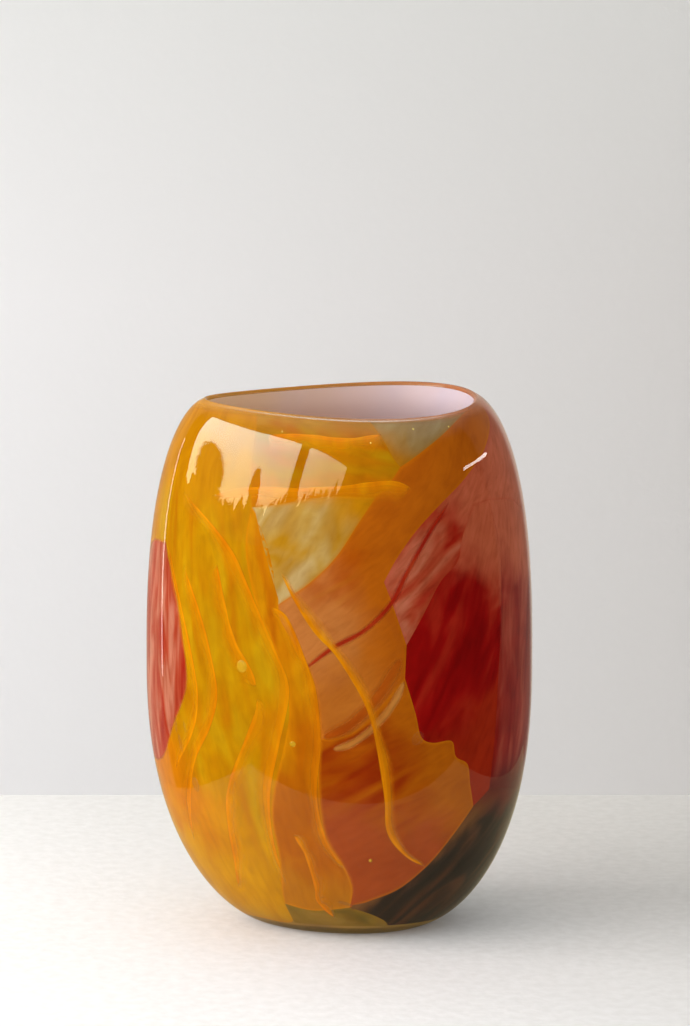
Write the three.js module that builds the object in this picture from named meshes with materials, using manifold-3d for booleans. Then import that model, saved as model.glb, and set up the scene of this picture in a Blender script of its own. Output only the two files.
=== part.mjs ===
// Hand blown cased glass vase: an opal bubble, a mosaic of colour shards and threads picked up
// on it, and a clear outer casing with a heavy foot. Millimetres, +Z up, origin at the foot.

import * as THREE from 'three';
import { mergeVertices } from 'three/addons/utils/BufferGeometryUtils.js';
import Module from 'manifold-3d';

const wasm = await Module();
wasm.setup();

// Overall form.
const HEIGHT = 226; // foot to lip, before the lip's wave
const BELLY_HEIGHT = 111;
const BELLY_HALF_WIDTH = 82.5;
const FOOT_HALF_WIDTH = 33;
const MOUTH_HALF_WIDTH = 56;
const DEPTH_RATIO = 0.75; // the body is squeezed front to back
const FOOT_LEAN = 2.2; // sideways shift of the foot
const MOUTH_LEAN = 0.6; // sideways shift of the mouth
const BELLY_EGG = 0.14; // how much fuller the section is on the +X side
const MOUTH_EGG = 0.42; // the same at the mouth, which narrows to a point on the -X side

// Superellipse powers: height power, width power.
const LOWER_POWER = { height: 2.32, width: 1.73 };
const UPPER_POWER = { height: 2.6, width: 1.88 };

// Lip wave: [rise, turning periods, degrees of its crest].
const LIP_WAVES = [
  [0.9, 1, 75],
  [0.7, 2, 10],
];
const LIP_ROUND = 1.2;

// Wall build-up, from the outside in.
const CASING_WALL = 2.4;
const SHARD_THICKNESS = 0.6;
const LINER_WALL = 1.6;
const CLEARANCE = 0.5; // between one layer of glass and the next
const SEAM = 0.6; // between neighbouring shards of one layer
const LAYER_COUNT = 3; // fine threads, broad trails, mosaic

// Ends of the layers.
const FOOT_THICKNESS = 5.2; // clear glass under the liner
const LINER_FLOOR = 4;
const COLOUR_MARGIN = 1; // from a layer's end to the casing's floor and lip
const LIP_DEPTH = 4.1; // clear lip above the liner
const PONTIL_HALF_WIDTH = 15; // ground hollow under the foot
const PONTIL_DEPTH = 1.2;
const PONTIL_BEND = { width: 0.6, depth: 0.7 }; // shares of the hollow at its bend

// Fineness of the facets.
const ROUND_STEPS = 38;
const BELOW_BELLY_STEPS = 6;
const ABOVE_BELLY_STEPS = 8;
const OUTLINE_STEPS = 1; // straight stretches per span of an outline
const CUTTER = { inner: 20, outer: 500, steps: 48 };
const NEAREST_POINTS = 0.05; // outline points closer than this are one
const MITRE_LIMIT = 3; // a mitre is at most this many seams long

// Shard outlines are drawn as [degrees round the body, height on a body of PATTERN_HEIGHT].
// 0 degrees is +X, -90 is the front. They stretch with the real height.
const PATTERN_HEIGHT = 226;

const radians = THREE.MathUtils.degToRad;
const liningOffset = CASING_WALL + CLEARANCE + LAYER_COUNT * (SHARD_THICKNESS + CLEARANCE);
const casingFloor = FOOT_THICKNESS;
const linerBottom = casingFloor + CLEARANCE;
const linerTop = HEIGHT - LIP_DEPTH - CLEARANCE;
const colourBottom = linerBottom + COLOUR_MARGIN;
const colourTop = linerTop - COLOUR_MARGIN;

// ---- Form ----

function bodyRows() {
  const rows = [];
  const quarter = Math.PI / 2;
  for (let i = 0; i <= BELOW_BELLY_STEPS; i++) {
    const turn = (i / BELOW_BELLY_STEPS) * quarter;
    const rise = 1 - Math.cos(turn) ** (2 / LOWER_POWER.height);
    const spread = Math.sin(turn) ** (2 / LOWER_POWER.width);
    const radius = FOOT_HALF_WIDTH + (BELLY_HALF_WIDTH - FOOT_HALF_WIDTH) * spread;
    rows.push(new THREE.Vector2(radius, BELLY_HEIGHT * Math.min(rise, 1)));
  }
  for (let i = 1; i <= ABOVE_BELLY_STEPS; i++) {
    const turn = (i / ABOVE_BELLY_STEPS) * quarter;
    const rise = Math.sin(turn) ** (2 / UPPER_POWER.height);
    const spread = Math.max(Math.cos(turn), 0) ** (2 / UPPER_POWER.width);
    const radius = MOUTH_HALF_WIDTH + (BELLY_HALF_WIDTH - MOUTH_HALF_WIDTH) * spread;
    rows.push(new THREE.Vector2(radius, BELLY_HEIGHT + (HEIGHT - BELLY_HEIGHT) * rise));
  }
  return rows;
}

const rows = bodyRows();

function bodyRadius(height) {
  const upper = Math.max(1, rows.findIndex((row) => row.y >= height));
  const low = rows[upper - 1];
  const high = rows[upper];
  return THREE.MathUtils.mapLinear(height, low.y, high.y, low.x, high.x);
}

// The body's outline moved inwards by offset, between two heights, lowest point first.
function wallLine(offset, bottom, top) {
  const heights = rows.map((row) => row.y).filter((y) => y > bottom && y < top);
  return [bottom, ...heights, top].map((y) => new THREE.Vector2(bodyRadius(y) - offset, y));
}

// Squeezes a turned form into the oval, leaning, wavy-lipped body.
function blowIntoShape(point) {
  const angle = Math.atan2(point.y, point.x);
  const radius = Math.hypot(point.x, point.y);
  const above = Math.max(0, (point.z - BELLY_HEIGHT) / (HEIGHT - BELLY_HEIGHT));
  const below = Math.max(0, 1 - point.z / BELLY_HEIGHT);
  const lean = FOOT_LEAN * below ** 2 + MOUTH_LEAN * above ** 2;
  const egg = BELLY_EGG + (MOUTH_EGG - BELLY_EGG) * above ** 2;
  let wave = 0;
  for (const [rise, periods, crest] of LIP_WAVES) {
    wave += rise * Math.cos(periods * (angle - radians(crest)));
  }
  return new THREE.Vector3(
    lean + radius * Math.cos(angle),
    DEPTH_RATIO * radius * Math.sin(angle) * (1 + egg * Math.cos(angle)),
    point.z + wave * above ** 2,
  );
}

// ---- Solids ----

// A solid blown into shape from an upright, round one.
function blown(geometry) {
  geometry.deleteAttribute('normal');
  geometry.deleteAttribute('uv');
  const merged = mergeVertices(geometry, 1e-4);
  const place = merged.attributes.position;
  for (let i = 0; i < place.count; i++) {
    blowIntoShape(new THREE.Vector3().fromBufferAttribute(place, i)).toArray(place.array, 3 * i);
  }
  return new wasm.Manifold(new wasm.Mesh({
    numProp: 3,
    vertProperties: new Float32Array(merged.attributes.position.array),
    triVerts: new Uint32Array(merged.index.array),
  }));
}

// Turned solid from a profile of (radius, height) points, drawn anticlockwise.
function turned(profile) {
  const geometry = new THREE.LatheGeometry(profile, ROUND_STEPS);
  geometry.rotateX(Math.PI / 2);
  return blown(geometry);
}

function layerShell(index) {
  const offset = CASING_WALL + CLEARANCE + index * (SHARD_THICKNESS + CLEARANCE);
  const outer = wallLine(offset, colourBottom, colourTop);
  const inner = wallLine(offset + SHARD_THICKNESS, colourBottom, colourTop).reverse();
  return turned([...outer, ...inner, outer[0].clone()]);
}

// A wedge that cuts one outline out of a layer, square to the glass.
function cutter(outline) {
  const shape = new THREE.Shape(outline.map(([degrees, up]) => new THREE.Vector2(degrees, up)));
  const geometry = new THREE.ExtrudeGeometry(shape, {
    depth: 1,
    steps: CUTTER.steps,
    bevelEnabled: false,
  });
  const place = geometry.attributes.position;
  for (let i = 0; i < place.count; i++) {
    const angle = radians(place.getX(i));
    const radius = CUTTER.inner * (CUTTER.outer / CUTTER.inner) ** place.getZ(i);
    const height = (place.getY(i) * HEIGHT) / PATTERN_HEIGHT;
    place.setXYZ(i, radius * Math.cos(angle), radius * Math.sin(angle), height);
  }
  return blown(geometry);
}

// ---- Outlines ----

// A curved edge through a few points.
function edge(points) {
  const curve = new THREE.SplineCurve(points.map(([x, y]) => new THREE.Vector2(x, y)));
  return curve.getPoints((points.length - 1) * OUTLINE_STEPS).map((p) => [p.x, p.y]);
}

function reversed(points) {
  return [...points].reverse();
}

// Millimetres per degree at a pattern height.
function degreeLength(up) {
  const height = (up * HEIGHT) / PATTERN_HEIGHT;
  return radians(1) * bodyRadius(THREE.MathUtils.clamp(height, 0, HEIGHT));
}

function withoutRepeats(points) {
  return points.filter(([x, y], i) => {
    const [px, py] = points[(i + points.length - 1) % points.length];
    return Math.hypot((x - px) * degreeLength(y), y - py) > NEAREST_POINTS;
  });
}

// Direction from one outline point to another, as a unit vector in millimetres.
function heading([ax, ay], [bx, by]) {
  const scale = degreeLength((ay + by) / 2);
  return new THREE.Vector2((bx - ax) * scale, by - ay).normalize();
}

// Draws an outline in by a distance, so that neighbours keep a seam between them.
function drawnIn(outline, distance) {
  const points = withoutRepeats(outline);
  const flat = points.map(([x, y]) => new THREE.Vector2(x, y));
  const turn = THREE.ShapeUtils.isClockWise(flat) ? -1 : 1;
  return points.map((point, i) => {
    const before = heading(points[(i + points.length - 1) % points.length], point);
    const after = heading(point, points[(i + 1) % points.length]);
    const inward = new THREE.Vector2(-before.y - after.y, before.x + after.x).normalize();
    const spread = Math.max(1 / MITRE_LIMIT, -before.y * inward.x + before.x * inward.y);
    const step = (turn * distance) / spread;
    return [point[0] + (inward.x * step) / degreeLength(point[1]), point[1] + inward.y * step];
  });
}

// A trail of glass along a path, pointed at both ends.
function trail(path, width) {
  const line = edge(path);
  const left = [];
  const right = [];
  for (let i = 1; i < line.length - 1; i++) {
    const along = heading(line[i - 1], line[i + 1]);
    const across = width / 2 / degreeLength(line[i][1]);
    left.push([line[i][0] - along.y * across, line[i][1] + (along.x * width) / 2]);
    right.push([line[i][0] + along.y * across, line[i][1] - (along.x * width) / 2]);
  }
  return [line[0], ...right, line[line.length - 1], ...reversed(left)];
}

// Edges that neighbouring shards share.
const SWEEP_RIM = edge([[-10, 223], [-24, 220.3], [-37, 217.3], [-48, 213.3], [-56.5, 210],
  [-68, 205]]);
const SWEEP_UPPER = edge([[-68, 205], [-78, 194]]);
const SWEEP_FOLD = edge([[-78, 194], [-84, 183], [-91, 169], [-99, 158], [-109, 148]]);
const SWEEP_LOWER = edge([[-18, 210.5], [-31, 205], [-40, 201], [-53, 192], [-63.5, 181.5],
  [-71, 170], [-76, 159]]);
const SWEEP_END = edge([[-18, 210.5], [-11, 214], [-6, 223]]);
const PETAL_TOP = edge([[-76, 159], [-73, 148], [-69, 132]]);
const PETAL_MIDDLE = edge([[-69, 132], [-69.5, 118]]);
const PETAL_LOW = edge([[-69.5, 118], [-66, 103], [-64, 93], [-60, 90], [-53, 90], [-51, 83],
  [-46, 79], [-44, 70], [-41, 60]]);
const RED_LEFT = edge([[-69, 132], [-64, 143], [-57, 158], [-50, 166], [-47, 177], [-41, 188]]);
const RED_TOP = edge([[-41, 188], [-33, 189]]);
const RED_RIGHT = edge([[-33, 189], [-30, 170], [-31, 140], [-33, 110], [-34, 80], [-34, 66]]);
const PLUM_TOP = edge([[-33, 189], [-18, 186], [-6, 180], [4, 190]]);
const PLUM_END = edge([[4, 190], [14, 160], [18, 120], [16, 80], [10, 56]]);
const ARC_UNDER = edge([[-95.5, 92], [-86, 95], [-78, 105], [-69.5, 118]]);
const FOLD_TOP = edge([[-109, 148], [-108, 141], [-103, 131], [-99, 121], [-96.5, 108],
  [-95.5, 92]]);
const FOLD_LOW = edge([[-95.5, 92], [-96.5, 72], [-95, 50], [-89, 36], [-86, 26], [-87, 18]]);
const DARK_FRONT = edge([[-87, 18], [-78, 21], [-66, 26], [-56, 36], [-47, 50], [-41, 60]]);
const DARK_TOP = edge([[-41, 60], [-34, 66]]);
const DARK_SIDE = edge([[-34, 66], [-22, 64], [-8, 60], [10, 56]]);
const DARK_BACK = edge([[10, 56], [26, 50], [42, 40], [60, 50]]);
const KHAKI_LEFT = edge([[-120, 187], [-116, 181], [-112, 171], [-109.5, 158], [-109, 148]]);
const KHAKI_TOP = edge([[-120, 187], [-108, 190], [-94, 194], [-78, 194]]);
const YELLOW_TOP = edge([[-127, 223], [-122, 200], [-120, 187]]);
const YELLOW_SIDE = edge([[-120, 187], [-121, 170], [-116, 146], [-111, 133], [-105.5, 108],
  [-107, 90], [-113, 60], [-113, 38], [-117, 18]]);
const OLIVE_TOP = edge([[-117, 18], [-104, 16], [-87, 18]]);
const OLIVE_END = edge([[-87, 18], [-78, 15.5], [-69, 12], [-64, 6]]);
const RIM_KHAKI = edge([[-79, 223], [-73, 214], [-70, 208], [-68, 205]]);
const LEFT_END = edge([[-176, 223], [-178, 150], [-178, 70], [-172, 30], [-166, 6]]);
const BACK_RIGHT = edge([[84, 223], [78, 190], [66, 160], [60, 120]]);
const BACK_RIGHT_LOW = edge([[60, 120], [68, 84], [60, 50]]);
const BACK_LEFT = edge([[132, 223], [122, 190], [128, 150], [112, 110]]);
const BACK_LEFT_LOW = edge([[112, 110], [118, 70], [104, 40]]);
const BACK_FOOT = edge([[104, 40], [108, 6]]);
const BACK_CROSS = edge([[60, 120], [86, 118], [112, 110]]);
const BACK_SMOKE = edge([[60, 50], [84, 34], [104, 40]]);

// The other way round the body, for outlines on the back.
function fullTurn(points) {
  return points.map(([degrees, up]) => [degrees + 360, up]);
}

// name: [outline, colour]. All lie in the innermost colour layer, side by side.
const MOSAIC = {
  yellow_shard_left: [
    [...YELLOW_TOP, ...YELLOW_SIDE, [-120, 6], [-144, 6], ...reversed(LEFT_END), [-150, 223]],
    0xd49a00],
  yellow_shard_top: [
    [...reversed(YELLOW_TOP), ...RIM_KHAKI, ...SWEEP_UPPER, ...reversed(KHAKI_TOP)],
    0xcf9300],
  khaki_shard_rim: [[...RIM_KHAKI, ...reversed(SWEEP_RIM), [-42, 223]], 0xa98b52],
  khaki_shard: [[...KHAKI_TOP, ...SWEEP_FOLD, ...reversed(KHAKI_LEFT)], 0xb79b4c],
  amber_ribbon: [
    [...KHAKI_LEFT, ...FOLD_TOP, ...FOLD_LOW, ...reversed(OLIVE_TOP), ...reversed(YELLOW_SIDE)],
    0xdf8400],
  orange_sweep_shard: [
    [...SWEEP_RIM, ...SWEEP_UPPER, ...SWEEP_FOLD, ...FOLD_TOP, ...ARC_UNDER, ...reversed(PETAL_MIDDLE),
      ...reversed(PETAL_TOP), ...reversed(SWEEP_LOWER), ...SWEEP_END],
    0xc25a05],
  brick_shard: [
    [...ARC_UNDER, ...PETAL_LOW, ...reversed(DARK_FRONT), ...reversed(FOLD_LOW)], 0xb04312],
  milky_red_shard: [
    [...SWEEP_LOWER, ...PETAL_TOP, ...RED_LEFT, ...RED_TOP, ...PLUM_TOP, [6, 206], [2, 223],
      ...reversed(SWEEP_END)],
    0xb0493c],
  deep_red_shard: [
    [...RED_LEFT, ...RED_TOP, ...RED_RIGHT, ...reversed(DARK_TOP), ...reversed(PETAL_LOW),
      ...reversed(PETAL_MIDDLE)],
    0x8f0a0c],
  plum_shard: [[...PLUM_TOP, ...PLUM_END, ...reversed(DARK_SIDE), ...reversed(RED_RIGHT)], 0x7a2a22],
  dark_shard: [
    [...DARK_FRONT, ...DARK_TOP, ...DARK_SIDE, ...DARK_BACK, [52, 24], [50, 6],
      ...reversed(OLIVE_END)],
    0x2b2220],
  olive_shard: [[...OLIVE_TOP, ...OLIVE_END, [-118, 6]], 0x7d6a26],
  orange_shard_back: [
    [...PLUM_END, ...DARK_BACK, ...reversed(BACK_RIGHT_LOW), ...reversed(BACK_RIGHT), [4, 223],
      [8, 206]],
    0xc85f08],
  amber_shard_back: [
    [...BACK_RIGHT, ...BACK_CROSS, ...reversed(BACK_LEFT)], 0xcb7a10],
  red_shard_back: [
    [...BACK_RIGHT_LOW, ...BACK_SMOKE, ...reversed(BACK_LEFT_LOW), ...reversed(BACK_CROSS)],
    0x9c1a14],
  smoke_shard_back: [[...BACK_SMOKE, ...BACK_FOOT, [52, 6], [54, 24]], 0x3a2c26],
  yellow_shard_back: [
    [...BACK_LEFT, ...BACK_LEFT_LOW, ...BACK_FOOT, ...reversed(fullTurn(LEFT_END))], 0xd09a08],
};

// name: [outline, colour]. Broad trails laid over the mosaic.
const TRAILS = {
  red_patch_left: [
    edge([[-160, 168], [-150, 148], [-144.5, 126], [-143.5, 108], [-151, 92], [-164, 74],
      [-184, 74], [-196, 96], [-198, 124], [-190, 150], [-176, 166], [-160, 168]]),
    0xb83022],
  brown_arc: [trail([[-95, 93], [-88, 97.5], [-81, 106], [-75.5, 116], [-71, 127]], 4.4), 0xa84a08],
  cream_arc: [trail([[-92, 88], [-86, 91], [-79, 98.5], [-73.5, 107.5], [-70, 117]], 2.6), 0xd9a870],
  red_thread: [
    trail([[-101, 121], [-92, 131], [-82, 139], [-74, 150], [-69, 162], [-61, 178], [-52, 191]], 2),
    0x9e2410],
  milk_trail_back: [trail([[70, 196], [84, 176], [90, 150], [104, 128], [124, 116]], 5), 0xcf9a66],
  red_trail_back: [trail([[134, 206], [146, 176], [150, 140], [142, 104], [150, 70]], 6), 0xa83018],
};

// name: [path, width]. Fine threads and rolled shard edges, all amber, nearest the surface.
const THREADS = {
  thread_left_1: [[[-156, 166], [-148, 147], [-141, 124], [-138, 104], [-142, 88], [-153, 72]], 1.6],
  thread_left_2: [[[-146, 160], [-138, 143], [-133, 127], [-130, 109], [-133, 94], [-141, 78],
    [-148, 58], [-154, 40]], 2],
  thread_left_3: [[[-131, 163], [-127, 146], [-123, 131], [-117.5, 120], [-115.7, 113]], 2],
  thread_left_4: [[[-115.3, 108], [-116, 100], [-121.5, 84], [-127.5, 68], [-130, 55],
    [-132.6, 35], [-138, 22]], 2.2],
  thread_side: [[[-152, 190], [-136.5, 180], [-126, 169], [-120, 157], [-115, 144], [-110, 130],
    [-106, 117], [-106, 106], [-109, 88], [-113, 66], [-113.5, 44], [-112, 26]], 2.2],
  thread_crossing: [[[-108, 162], [-104, 152], [-97, 138], [-90, 127], [-82, 108], [-78, 88],
    [-75.5, 68], [-74, 52], [-67, 41], [-58, 35]], 2.2],
  thread_fold: [[[-111, 147], [-106, 143], [-101, 128], [-97.5, 114], [-96, 92], [-97.5, 68],
    [-95, 48], [-89, 35]], 2],
  thread_foot: [[[-106, 50], [-102.5, 41], [-100.5, 27], [-100.5, 20], [-94, 13]], 1.8],
  thread_upper: [[[-136, 190], [-120, 195], [-105, 196], [-90, 198], [-74, 200], [-66, 198]], 2.6],
  thread_lip: [[[-118, 213], [-104, 214.5], [-88, 214], [-74, 216]], 2],
  thread_back_1: [[[30, 208], [36, 170], [28, 130], [38, 92], [34, 66]], 2],
  thread_back_2: [[[100, 212], [96, 180], [108, 146], [98, 104], [108, 60]], 2.2],
  thread_back_3: [[[158, 212], [160, 176], [168, 140], [158, 100], [164, 60], [158, 24]], 2],
  thread_back_4: [[[65, 207], [57, 175], [51, 143], [53.5, 113], [61, 79]], 1.8],
};

// ---- Pieces ----

function clearCasing() {
  const lipCentre = new THREE.Vector2(MOUTH_HALF_WIDTH + LIP_ROUND, HEIGHT - LIP_ROUND);
  const lip = [90, 135, 180].map((degrees) => new THREE.Vector2(
    lipCentre.x + LIP_ROUND * Math.cos(radians(degrees)),
    lipCentre.y + LIP_ROUND * Math.sin(radians(degrees)),
  ));
  const lipSeat = HEIGHT - LIP_DEPTH;
  const inside = wallLine(CASING_WALL, casingFloor, lipSeat).reverse();
  return turned([
    new THREE.Vector2(0, PONTIL_DEPTH),
    new THREE.Vector2(PONTIL_HALF_WIDTH * PONTIL_BEND.width, PONTIL_DEPTH * PONTIL_BEND.depth),
    new THREE.Vector2(PONTIL_HALF_WIDTH, 0),
    ...rows.slice(0, -1),
    ...lip,
    new THREE.Vector2(MOUTH_HALF_WIDTH, lipSeat),
    ...inside,
    new THREE.Vector2(0, casingFloor),
  ]);
}

function opalLiner() {
  return turned([
    new THREE.Vector2(0, linerBottom),
    ...wallLine(liningOffset, linerBottom, linerTop),
    ...wallLine(liningOffset + LINER_WALL, linerBottom + LINER_FLOOR, linerTop).reverse(),
    new THREE.Vector2(0, linerBottom + LINER_FLOOR),
  ]);
}

function piece(name, solid, colour, roughness) {
  const mesh = solid.getMesh();
  const geometry = new THREE.BufferGeometry();
  geometry.setAttribute('position', new THREE.BufferAttribute(mesh.vertProperties, 3));
  geometry.setIndex(new THREE.BufferAttribute(new Uint32Array(mesh.triVerts), 1));
  geometry.computeVertexNormals();
  const material = new THREE.MeshStandardMaterial({ color: colour, roughness, metalness: 0 });
  const result = new THREE.Mesh(geometry, material);
  result.name = name;
  return result;
}

const group = new THREE.Group();
const GLOSS = 0.05;
const FUSED_GLOSS = 0.12;

group.add(piece('clear_casing', clearCasing(), 0xf4efe4, GLOSS));
group.add(piece('opal_liner', opalLiner(), 0xe6cdd0, GLOSS));

const [threadLayer, trailLayer, mosaicLayer] = [0, 1, 2].map(layerShell);
for (const [name, [path, width]] of Object.entries(THREADS)) {
  const solid = threadLayer.intersect(cutter(trail(path, width)));
  group.add(piece(name, solid, 0xd98608, FUSED_GLOSS));
}
for (const [name, [outline, colour]] of Object.entries(TRAILS)) {
  const solid = trailLayer.intersect(cutter(withoutRepeats(outline)));
  group.add(piece(name, solid, colour, FUSED_GLOSS));
}
for (const [name, [outline, colour]] of Object.entries(MOSAIC)) {
  const solid = mosaicLayer.intersect(cutter(drawnIn(outline, SEAM / 2)));
  group.add(piece(name, solid, colour, FUSED_GLOSS));
}

export default group;
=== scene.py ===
"""A hand blown, cased glass vase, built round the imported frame.

The vase is built the way it is blown: an opal bubble, a mosaic of colour shards laid on it, broad
trails and fine threads over those, and a clear casing with a heavy foot and a fire-polished lip.
"""

import logging
import math
from dataclasses import dataclass, field, replace
from enum import Enum
from typing import Sequence

import bmesh
import bpy
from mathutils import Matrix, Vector


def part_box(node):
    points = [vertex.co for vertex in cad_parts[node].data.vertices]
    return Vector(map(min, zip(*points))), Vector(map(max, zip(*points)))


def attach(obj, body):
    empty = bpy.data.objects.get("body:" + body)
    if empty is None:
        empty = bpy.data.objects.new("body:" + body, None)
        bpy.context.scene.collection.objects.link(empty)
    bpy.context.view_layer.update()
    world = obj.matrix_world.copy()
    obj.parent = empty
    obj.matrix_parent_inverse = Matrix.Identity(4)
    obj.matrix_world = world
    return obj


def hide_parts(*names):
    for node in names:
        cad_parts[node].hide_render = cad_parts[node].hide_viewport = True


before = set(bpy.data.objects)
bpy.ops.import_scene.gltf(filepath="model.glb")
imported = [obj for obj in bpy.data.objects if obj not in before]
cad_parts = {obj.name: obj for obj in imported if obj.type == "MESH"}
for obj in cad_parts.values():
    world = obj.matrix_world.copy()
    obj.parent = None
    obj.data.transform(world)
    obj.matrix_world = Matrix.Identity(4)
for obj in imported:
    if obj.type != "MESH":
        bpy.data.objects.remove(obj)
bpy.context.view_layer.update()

LOG = logging.getLogger("vase")

Point = tuple[float, float]
Colour = tuple[float, float, float]
Socket = bpy.types.NodeSocket

# The flat pattern is drawn as (degrees, height): drawn millimetres to a degree, UV units to a
# drawn millimetre, and the heights where the colours start and stop.
MM_PER_DEGREE = 1.3
PATTERN_UNIT = 0.01
FLOOR = 9.2
TOP = 220.5
# Width of the whole body in drawn millimetres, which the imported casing's width sets to metres.
DRAWN_WIDTH = 164.4


# ---------------------------------------------------------------------------------------------
# Form
# ---------------------------------------------------------------------------------------------


class Layer(Enum):
    """How deep each layer of glass lies under the outer skin, in drawn millimetres."""

    SEEDS = 1.3
    THREADS = 2.9
    TRAILS = 4.0
    MOSAIC = 5.1
    LINER = 6.2
    HOLLOW = 7.8


@dataclass
class BodyForm:
    """The blown body: a superellipse in profile, squeezed, egg-shaped and leaning a little.

    Lengths are drawn millimetres; unit turns them into metres.
    """

    unit: float
    height: float = 226.0
    belly_height: float = 111.0
    belly: float = 82.2
    foot: float = 33.0
    mouth: float = 56.0
    depth_ratio: float = 0.75
    foot_lean: float = 2.2
    mouth_lean: float = 0.6
    belly_egg: float = 0.14
    mouth_egg: float = 0.42
    lower_power: Point = (2.32, 1.73)
    upper_power: Point = (2.6, 1.88)
    lip_waves: tuple[tuple[float, int, float], ...] = ((0.9, 1, 75.0), (0.7, 2, 10.0))
    lip_reach: float = 3.9
    foot_reach: float = 2.4

    def radius(self, height: float) -> float:
        """Half the body's width at a height.

        Args:
            height: Height above the foot, in drawn millimetres.

        Returns:
            The half width, in drawn millimetres.
        """
        if height < self.belly_height:
            rise, spread = self.lower_power
            cosine = max(0.0, 1.0 - height / self.belly_height) ** (rise / 2)
            bulge = math.sqrt(max(0.0, 1.0 - cosine**2)) ** (2 / spread)
            return self.foot + (self.belly - self.foot) * bulge
        rise, spread = self.upper_power
        share = min(1.0, (height - self.belly_height) / (self.height - self.belly_height))
        bulge = math.sqrt(max(0.0, 1.0 - share**rise)) ** (2 / spread)
        return self.mouth + (self.belly - self.mouth) * bulge

    def blow(self, angle: float, radius: float, height: float) -> Vector:
        """Squeezes a point of the upright, round form into the real body.

        Args:
            angle: Turn round the axis in radians, 0 at +X.
            radius: Distance from the axis in the round form, drawn millimetres.
            height: Height in the round form, drawn millimetres.

        Returns:
            The point in metres, in the frame.
        """
        above = max(0.0, (height - self.belly_height) / (self.height - self.belly_height))
        below = max(0.0, 1.0 - height / self.belly_height)
        lean = self.foot_lean * below**2 + self.mouth_lean * above**2
        egg = self.belly_egg + (self.mouth_egg - self.belly_egg) * above**2
        wave = sum(
            rise * math.cos(periods * (angle - math.radians(crest)))
            for rise, periods, crest in self.lip_waves
        )
        x = lean + radius * math.cos(angle)
        y = self.depth_ratio * radius * math.sin(angle) * (1 + egg * math.cos(angle))
        return Vector((x, y, height + wave * above**2)) * self.unit

    def lay(self, degrees: float, height: float, depth: float) -> Vector:
        """A point at a depth under the skin.

        Args:
            degrees: Turn round the body, 0 at +X and -90 at the front.
            height: Height, in drawn millimetres.
            depth: Level distance in from the skin, in drawn millimetres.

        Returns:
            The point in metres, in the frame.
        """
        settled = self.settle(height)
        share = self.wall(settled) / Layer.HOLLOW.value
        return self.blow(math.radians(degrees), self.radius(settled) - depth * share, settled)

    def settle(self, height: float) -> float:
        """Draws the colours up into the lip and down towards the foot.

        Args:
            height: Height of a point in the flat pattern.

        Returns:
            Its height in the body, in drawn millimetres.
        """
        rise = self.lip_reach * ease((height - 195.0) / 25.5)
        return height + rise - self.foot_reach * (1 - ease((height - 9.2) / 22.0))

    def wall(self, height: float) -> float:
        """Thickness of the whole glass wall, which thins into the lip.

        Args:
            height: Height in the body, in drawn millimetres.

        Returns:
            The level thickness, in drawn millimetres.
        """
        share = ease((height - 200.0) / 24.0)
        return Layer.HOLLOW.value * (1 - share) + (self.radius(height) - self.mouth) * share


def ease(share: float) -> float:
    """A smooth step from 0 to 1.

    Args:
        share: Any number; below 0 gives 0 and above 1 gives 1.

    Returns:
        The eased share.
    """
    share = min(1.0, max(0.0, share))
    return share * share * (3 - 2 * share)


def smooth_run(points: Sequence[Point], steps: int = 6) -> list[Point]:
    """A Catmull-Rom curve through a few points.

    Args:
        points: The points, in order.
        steps: Samples in each span.

    Returns:
        The sampled points, ends included.
    """
    run: list[Point] = []
    count = len(points)
    for i in range(count - 1):
        before = Vector(points[max(0, i - 1)])
        start, end = Vector(points[i]), Vector(points[i + 1])
        after = Vector(points[min(count - 1, i + 2)])
        for step in range(steps):
            t = step / steps
            place = 0.5 * (
                2 * start
                + (end - before) * t
                + (2 * before - 5 * start + 4 * end - after) * t**2
                + (3 * start - before - 3 * end + after) * t**3
            )
            run.append((place.x, place.y))
    run.append(tuple(points[-1]))
    return run


def outline(*runs: Sequence[Point]) -> list[Point]:
    """Joins several runs into one closed outline, each smoothed, with corners where they meet.

    Args:
        *runs: Runs of points; one of two points stays straight.

    Returns:
        The closed outline without repeated points.
    """
    joined: list[Point] = []
    for run in runs:
        for point in smooth_run(run):
            if not joined or math.dist(point, joined[-1]) > 0.2:
                joined.append(point)
    if math.dist(joined[0], joined[-1]) < 0.2:
        joined.pop()
    return joined


def back(run: Sequence[Point]) -> list[Point]:
    """Turns a run round.

    Args:
        run: Points in order.

    Returns:
        The same run walked the other way.
    """
    return list(reversed(run))


def full_turn(run: Sequence[Point]) -> list[Point]:
    """Moves a run one whole turn further round.

    Args:
        run: Points as (degrees, height).

    Returns:
        The moved run.
    """
    return [(degrees + 360, height) for degrees, height in run]


# ---------------------------------------------------------------------------------------------
# Finishes
# ---------------------------------------------------------------------------------------------


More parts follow.
